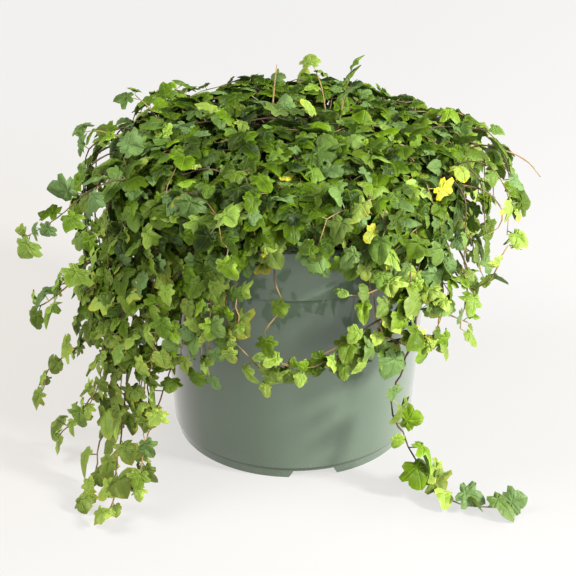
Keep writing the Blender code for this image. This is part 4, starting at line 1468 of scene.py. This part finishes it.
class PLANT_OT_crown(bpy.types.Operator):
    """Make the dense leafy head: its tangle, its shaded inner leaves, its shoots and its sprigs"""

    bl_idname = "plant.crown"
    bl_label = "Leafy head"

    def execute(self, context):
        leaves, stems = context.scene.plant_leaves, context.scene.plant_stems
        makings = gather_makings(context.scene, CROWN_SEED)
        self.make_tangle()
        self.make_inner_leaves(leaves, makings)
        self.make_shoots(leaves, stems, makings)
        self.make_sprigs(leaves, stems, makings)
        self.make_falls(leaves, stems, makings)
        remove_templates(makings)
        return {"FINISHED"}

    def make_tangle(self):
        """The dark knot of stems and dead leaves that shows between the leaves, coloured near-black partly as its
        own colour and partly as painted shade.
        """
        profile = [(radius * MM, height * MM) for radius, height in TANGLE_PROFILE]
        piece = turned_up("crown_tangle", profile, TANGLE_SIDES)
        modifier = piece.modifiers.new("Round", "SUBSURF")
        modifier.levels = modifier.render_levels = 1
        apply_modifiers(piece)
        points = coordinates(piece)
        for number, point in enumerate(points):
            out = Vector((point[0], point[1], max(0.0, point[2] - TANGLE_MIDDLE))).normalized()
            points[number] += np.array(out) * TANGLE_LUMP * noise.noise(Vector(point) * TANGLE_LUMP_SCALE)
        set_coordinates(piece, points)
        smooth_by_angle(piece, 60)
        piece.data.materials.append(crumb_material("tangle_painted_shade", TANGLE_SHADE_COLOUR, 0.35))
        keep_piece(piece, "crown_leaves", "crown")

    def make_inner_leaves(self, leaves, makings):
        """The shaded leaves next to the tangle."""
        parts = []
        for start in even_places(leaves.inner_count, HEAD_FOOT):
            if not self.in_opening(start):
                parts.append(self.inner_leaf(start, leaves, makings))
        keep_piece(joined("crown_inner_leaves", parts), "crown_leaves", "crown")

    def make_shoots(self, leaves, stems, makings):
        """The leafy shoots that cover the head, in a front and a back piece."""
        rng = makings.rng
        sectors = {"front": [], "back": []}
        for number, start in enumerate(even_places(leaves.shoot_count, HEAD_FOOT)):
            radius = math.hypot(start.x, start.y)
            heading = Vector((start.x, start.y, 0)).normalized() * 0.7 + some_direction(rng) * 0.9
            loose = number % LOOSE_EVERY == 0
            kind = LOOSE_SHOOT if loose else CLOSE_SHOOT
            length, rise = rng.uniform(*kind.length), rng.uniform(*kind.rise)
            rise *= next((share for limit, share in FLATTER_INSIDE if radius < limit * MM), 1.0)
            points = shoot_line(start, heading, length * MM, rise * MM, loose, rng)
            if len(points) < 4:
                continue
            spacing = OPENING_SPACING if self.in_opening(start) else kind.spacing
            growth = Growth(leaves.crown_size, spacing * MM, 7 * MM, CROWN_SHADES, 0.6 * stems.radius)
            sectors["front" if start.y < 0 else "back"].append(leafy_stem("shoot", points, growth, makings))
        for sector, parts in sectors.items():
            keep_piece(joined(f"crown_shoots_{sector}", parts), "crown_leaves", "crown")

    def make_sprigs(self, leaves, stems, makings):
        """The short stems and bare twigs that stand out of the head."""
        parts = []
        for spacing, *route in SPRIGS.values():
            growth = Growth(leaves.crown_size, spacing * MM, 14 * MM, TRAIL_SHADES, 0.7 * stems.radius)
            parts.append(leafy_stem("sprig", smooth_line(line_of(route), STEM_STEP), growth, makings))
        for route in BARE_SPRIGS:
            points = smooth_line(line_of(route), 4 * MM)
            parts.append(stem_tube("twig", points, 0.8 * stems.radius, 0.4 * stems.radius, makings.bark, TWIG_KNOTS))
        keep_piece(joined("crown_sprigs", parts), "crown_leaves", "crown")

    def make_falls(self, leaves, stems, makings):
        """The stems that arch out of the head and hang beside it."""
        parts = []
        for fall in FALLS:
            azimuth, _, _, spacing = fall
            # Painted light: the falls at the left have lighter leaves
            growth = Growth(leaves.crown_size, spacing * MM, 20 * MM, TRAIL_SHADES, 0.8 * stems.radius,
                            lighter=FALL_PAINTED_LIGHT if azimuth < 0 else 0.0)
            parts.append(leafy_stem("fall", fall_line(fall, makings.rng), growth, makings))
        keep_piece(joined("crown_falls", parts), "crown_leaves", "crown")

    def in_opening(self, start):
        """Whether this is one of the places where the leaves open and bare stems show."""
        return noise.noise(start * OPENING_SCALE + OPENING_SHIFT) < OPENING_LEVEL

    def inner_leaf(self, start, leaves, makings):
        """A darker leaf close to the tangle, whose deep shade is partly an old leaf's colour and partly painted
        shade.
        """
        rng = makings.rng
        spot, out = nearest_on_shell(start)
        down = (-UP + out * out.z).normalized() if abs(out.z) < 0.98 else Vector((start.x, start.y, 0)).normalized()
        root = spot - out * rng.uniform(*INNER_DEPTHS) * MM
        towards = down + some_direction(rng) * 0.9
        towards = towards - out * towards.dot(out) * 0.8
        heart = root + (out * 0.8 + towards.normalized() * 0.4) * INNER_REACH
        face = out + some_direction(rng) * 0.5
        size = leaves.crown_size * rng.uniform(*INNER_SIZES)
        leaf = Leaf(root, heart, towards, face, size, rng.uniform(*INNER_SHADES))
        return placed_leaf(rng.choice(makings.templates), leaf, rng)


class PLANT_OT_trails(bpy.types.Operator):
    """Make the trailing stems with their leaves"""

    bl_idname = "plant.trails"
    bl_label = "Trailing stems"

    def execute(self, context):
        leaves, stems = context.scene.plant_leaves, context.scene.plant_stems
        makings = gather_makings(context.scene, TRAIL_SEED)
        for name in TRAILS:
            parts = self.strand(name, leaves, stems, makings)
            if name == "front_04":
                parts += self.twigs(leaves, makings)
            keep_piece(joined("trailing_" + name, parts), "trailing_leaves", "stem_" + name)
        remove_templates(makings)
        return {"FINISHED"}

    def strand(self, name, leaves, stems, makings):
        """A trailing stem and the thinner ones that hang beside it."""
        # This stem's leaf size and its painted light, which is painted shade where below 0
        larger, lighter = SIZE_AND_PAINTED_LIGHT.get(name, (1.0, 0.0))
        parts = []
        for turn, shift, share in ((0, 0, 1.0), *COMPANIONS.get(name, ())):
            points = cut_line(smooth_line(trail_route(name, turn, shift), STEM_STEP), share)
            slim = 1.0 if share == 1.0 else COMPANION_SLIMNESS
            growth = Growth(
                leaves.trailing_size * slim * larger, leaves.spacing * BARENESS.get(name, 1.0), 34 * MM,
                TRAIL_SHADES, stems.radius * slim, BARE_STRETCHES.get(name, ()), lighter,
            )
            parts.append(leafy_stem(name, self.with_zigzag(points, makings.rng), growth, makings))
        return parts

    def twigs(self, leaves, makings):
        """The woody stems with few leaves that cross the front of the pot."""
        growth = Growth(0.8 * leaves.trailing_size, 19 * MM, 12 * MM, TRAIL_SHADES, 0.6 * MM)
        return [
            leafy_stem(f"twig_{number}", self.with_zigzag(smooth_line(line_of(route), 6 * MM), makings.rng),
                       growth, makings)
            for number, route in enumerate(TWIGS)
        ]

    def with_zigzag(self, points, rng):
        """The line with the slight bends of a stem that turns at each leaf."""
        return points[:ZIGZAG_FROM] + [
            point + some_direction(rng) * (ZIGZAG if point.z > ZIGZAG_LOWEST else 0.0)
            for point in points[ZIGZAG_FROM:]
        ]


class PLANT_OT_stage(bpy.types.Operator):
    """Set up the pale floor, the soft lights and the camera"""

    bl_idname = "plant.stage"
    bl_label = "Stage"

    def execute(self, context):
        stage = context.scene.plant_stage
        self.make_floor(stage)
        self.make_world(stage)
        for name, (place, size, share, colour) in LIGHTS.items():
            self.make_light(name, place, size, share * stage.key_power, colour)
        self.make_camera(stage)
        context.scene.view_settings.view_transform = "Standard"
        context.scene.view_settings.look = "None"
        return {"FINISHED"}

    def make_floor(self, stage):
        """The floor, which glows a little so that it stays pale, with painted light far away and a painted shadow at
        the left.
        """
        deselect_all()
        bpy.ops.mesh.primitive_plane_add(size=FLOOR_SIZE, location=(0, 0, 0))
        floor = active_piece("floor")
        settle()
        material, tree, shader = new_material("pale_floor")
        place = add_node(tree, "TexCoord").outputs["Object"]
        # Painted light: the glow is lighter far away
        far = spread(tree, self.distance(tree, place, (0, 0, 0)), *FLOOR_FAR)
        bright = [FLOOR_FAR_LIGHT * part for part in stage.floor_colour]
        glow = mixed_colour(tree, far, rgba(stage.floor_colour), rgba(bright))
        # A painted shadow, darker and warmer, at the left of the pot
        shaded = spread(tree, self.distance(tree, place, FLOOR_SHADOW_PLACE), FLOOR_SHADOW_REACH, 0.0)
        shadow_colour = [tint * part for tint, part in zip(FLOOR_SHADOW_TINT, stage.floor_colour)]
        glow = mixed_colour(tree, shaded, glow, rgba(shadow_colour))
        shader.inputs["Base Color"].default_value = rgba(stage.floor_colour)
        tree.links.new(glow, shader.inputs["Emission Color"])
        shader.inputs["Emission Strength"].default_value = FLOOR_GLOW
        shader.inputs["Roughness"].default_value = 0.7
        shader.inputs["Specular IOR Level"].default_value = 0.1
        floor.data.materials.append(material)

    def distance(self, tree, place, spot):
        """How far a place on the floor is from a spot."""
        away = add_node(tree, "VectorMath", {"operation": "DISTANCE"})
        tree.links.new(place, away.inputs[0])
        away.inputs[1].default_value = spot
        return away.outputs["Value"]

    def make_world(self, stage):
        """The soft light from all round."""
        world = bpy.data.worlds.new("soft_room")
        world.use_nodes = True
        background = world.node_tree.nodes["Background"]
        background.inputs["Color"].default_value = SKY_COLOUR
        background.inputs["Strength"].default_value = stage.sky_strength
        bpy.context.scene.world = world

    def make_light(self, name, place, size, power, colour):
        """A square soft light that points at the middle of the plant."""
        light = bpy.data.lights.new(name, "AREA")
        light.size = size
        light.energy = power
        light.color = colour
        lamp = bpy.data.objects.new(name, light)
        lamp.location = place
        aim = LIGHT_AIM - Vector(place)
        lamp.rotation_euler = aim.to_track_quat("-Z", "Y").to_euler()
        bpy.context.scene.collection.objects.link(lamp)

    def make_camera(self, stage):
        camera = bpy.data.cameras.new("camera")
        camera.lens = CAMERA_LENS
        camera.sensor_width = CAMERA_SENSOR
        view = bpy.data.objects.new("camera", camera)
        away = Vector((0, -math.cos(stage.elevation), math.sin(stage.elevation)))
        view.location = CAMERA_TARGET + away * stage.distance
        view.rotation_euler = (math.pi / 2 - stage.elevation, 0, 0)
        bpy.context.scene.collection.objects.link(view)
        bpy.context.scene.camera = view


class PLANT_PT_panel(bpy.types.Panel):
    """The plant's pieces in the sidebar"""

    bl_label = "Potted string of frogs"
    bl_space_type = "VIEW_3D"
    bl_region_type = "UI"
    bl_category = "Plant"

    def draw(self, context):
        for operator in OPERATORS:
            self.layout.operator(operator.bl_idname)
        for settings in (context.scene.plant_pot, context.scene.plant_leaves, context.scene.plant_stems,
                         context.scene.plant_stage):
            for label in settings.__annotations__:
                self.layout.prop(settings, label)


OPERATORS = (PLANT_OT_stage, PLANT_OT_pot, PLANT_OT_soil, PLANT_OT_crown, PLANT_OT_trails)
SETTINGS = {
    "plant_pot": PotSettings,
    "plant_leaves": LeafSettings,
    "plant_stems": StemSettings,
    "plant_stage": StageSettings,
}


def register():
    for kind in (*SETTINGS.values(), *OPERATORS, PLANT_PT_panel):
        bpy.utils.register_class(kind)
    for label, kind in SETTINGS.items():
        setattr(bpy.types.Scene, label, bpy.props.PointerProperty(type=kind))


def unregister():
    for label in SETTINGS:
        delattr(bpy.types.Scene, label)
    for kind in reversed((*SETTINGS.values(), *OPERATORS, PLANT_PT_panel)):
        bpy.utils.unregister_class(kind)


def main():
    register()
    bpy.ops.plant.stage()
    bpy.ops.plant.pot()
    bpy.ops.plant.soil()
    bpy.ops.plant.crown()
    bpy.ops.plant.trails()


if __name__ == "__main__":
    main()
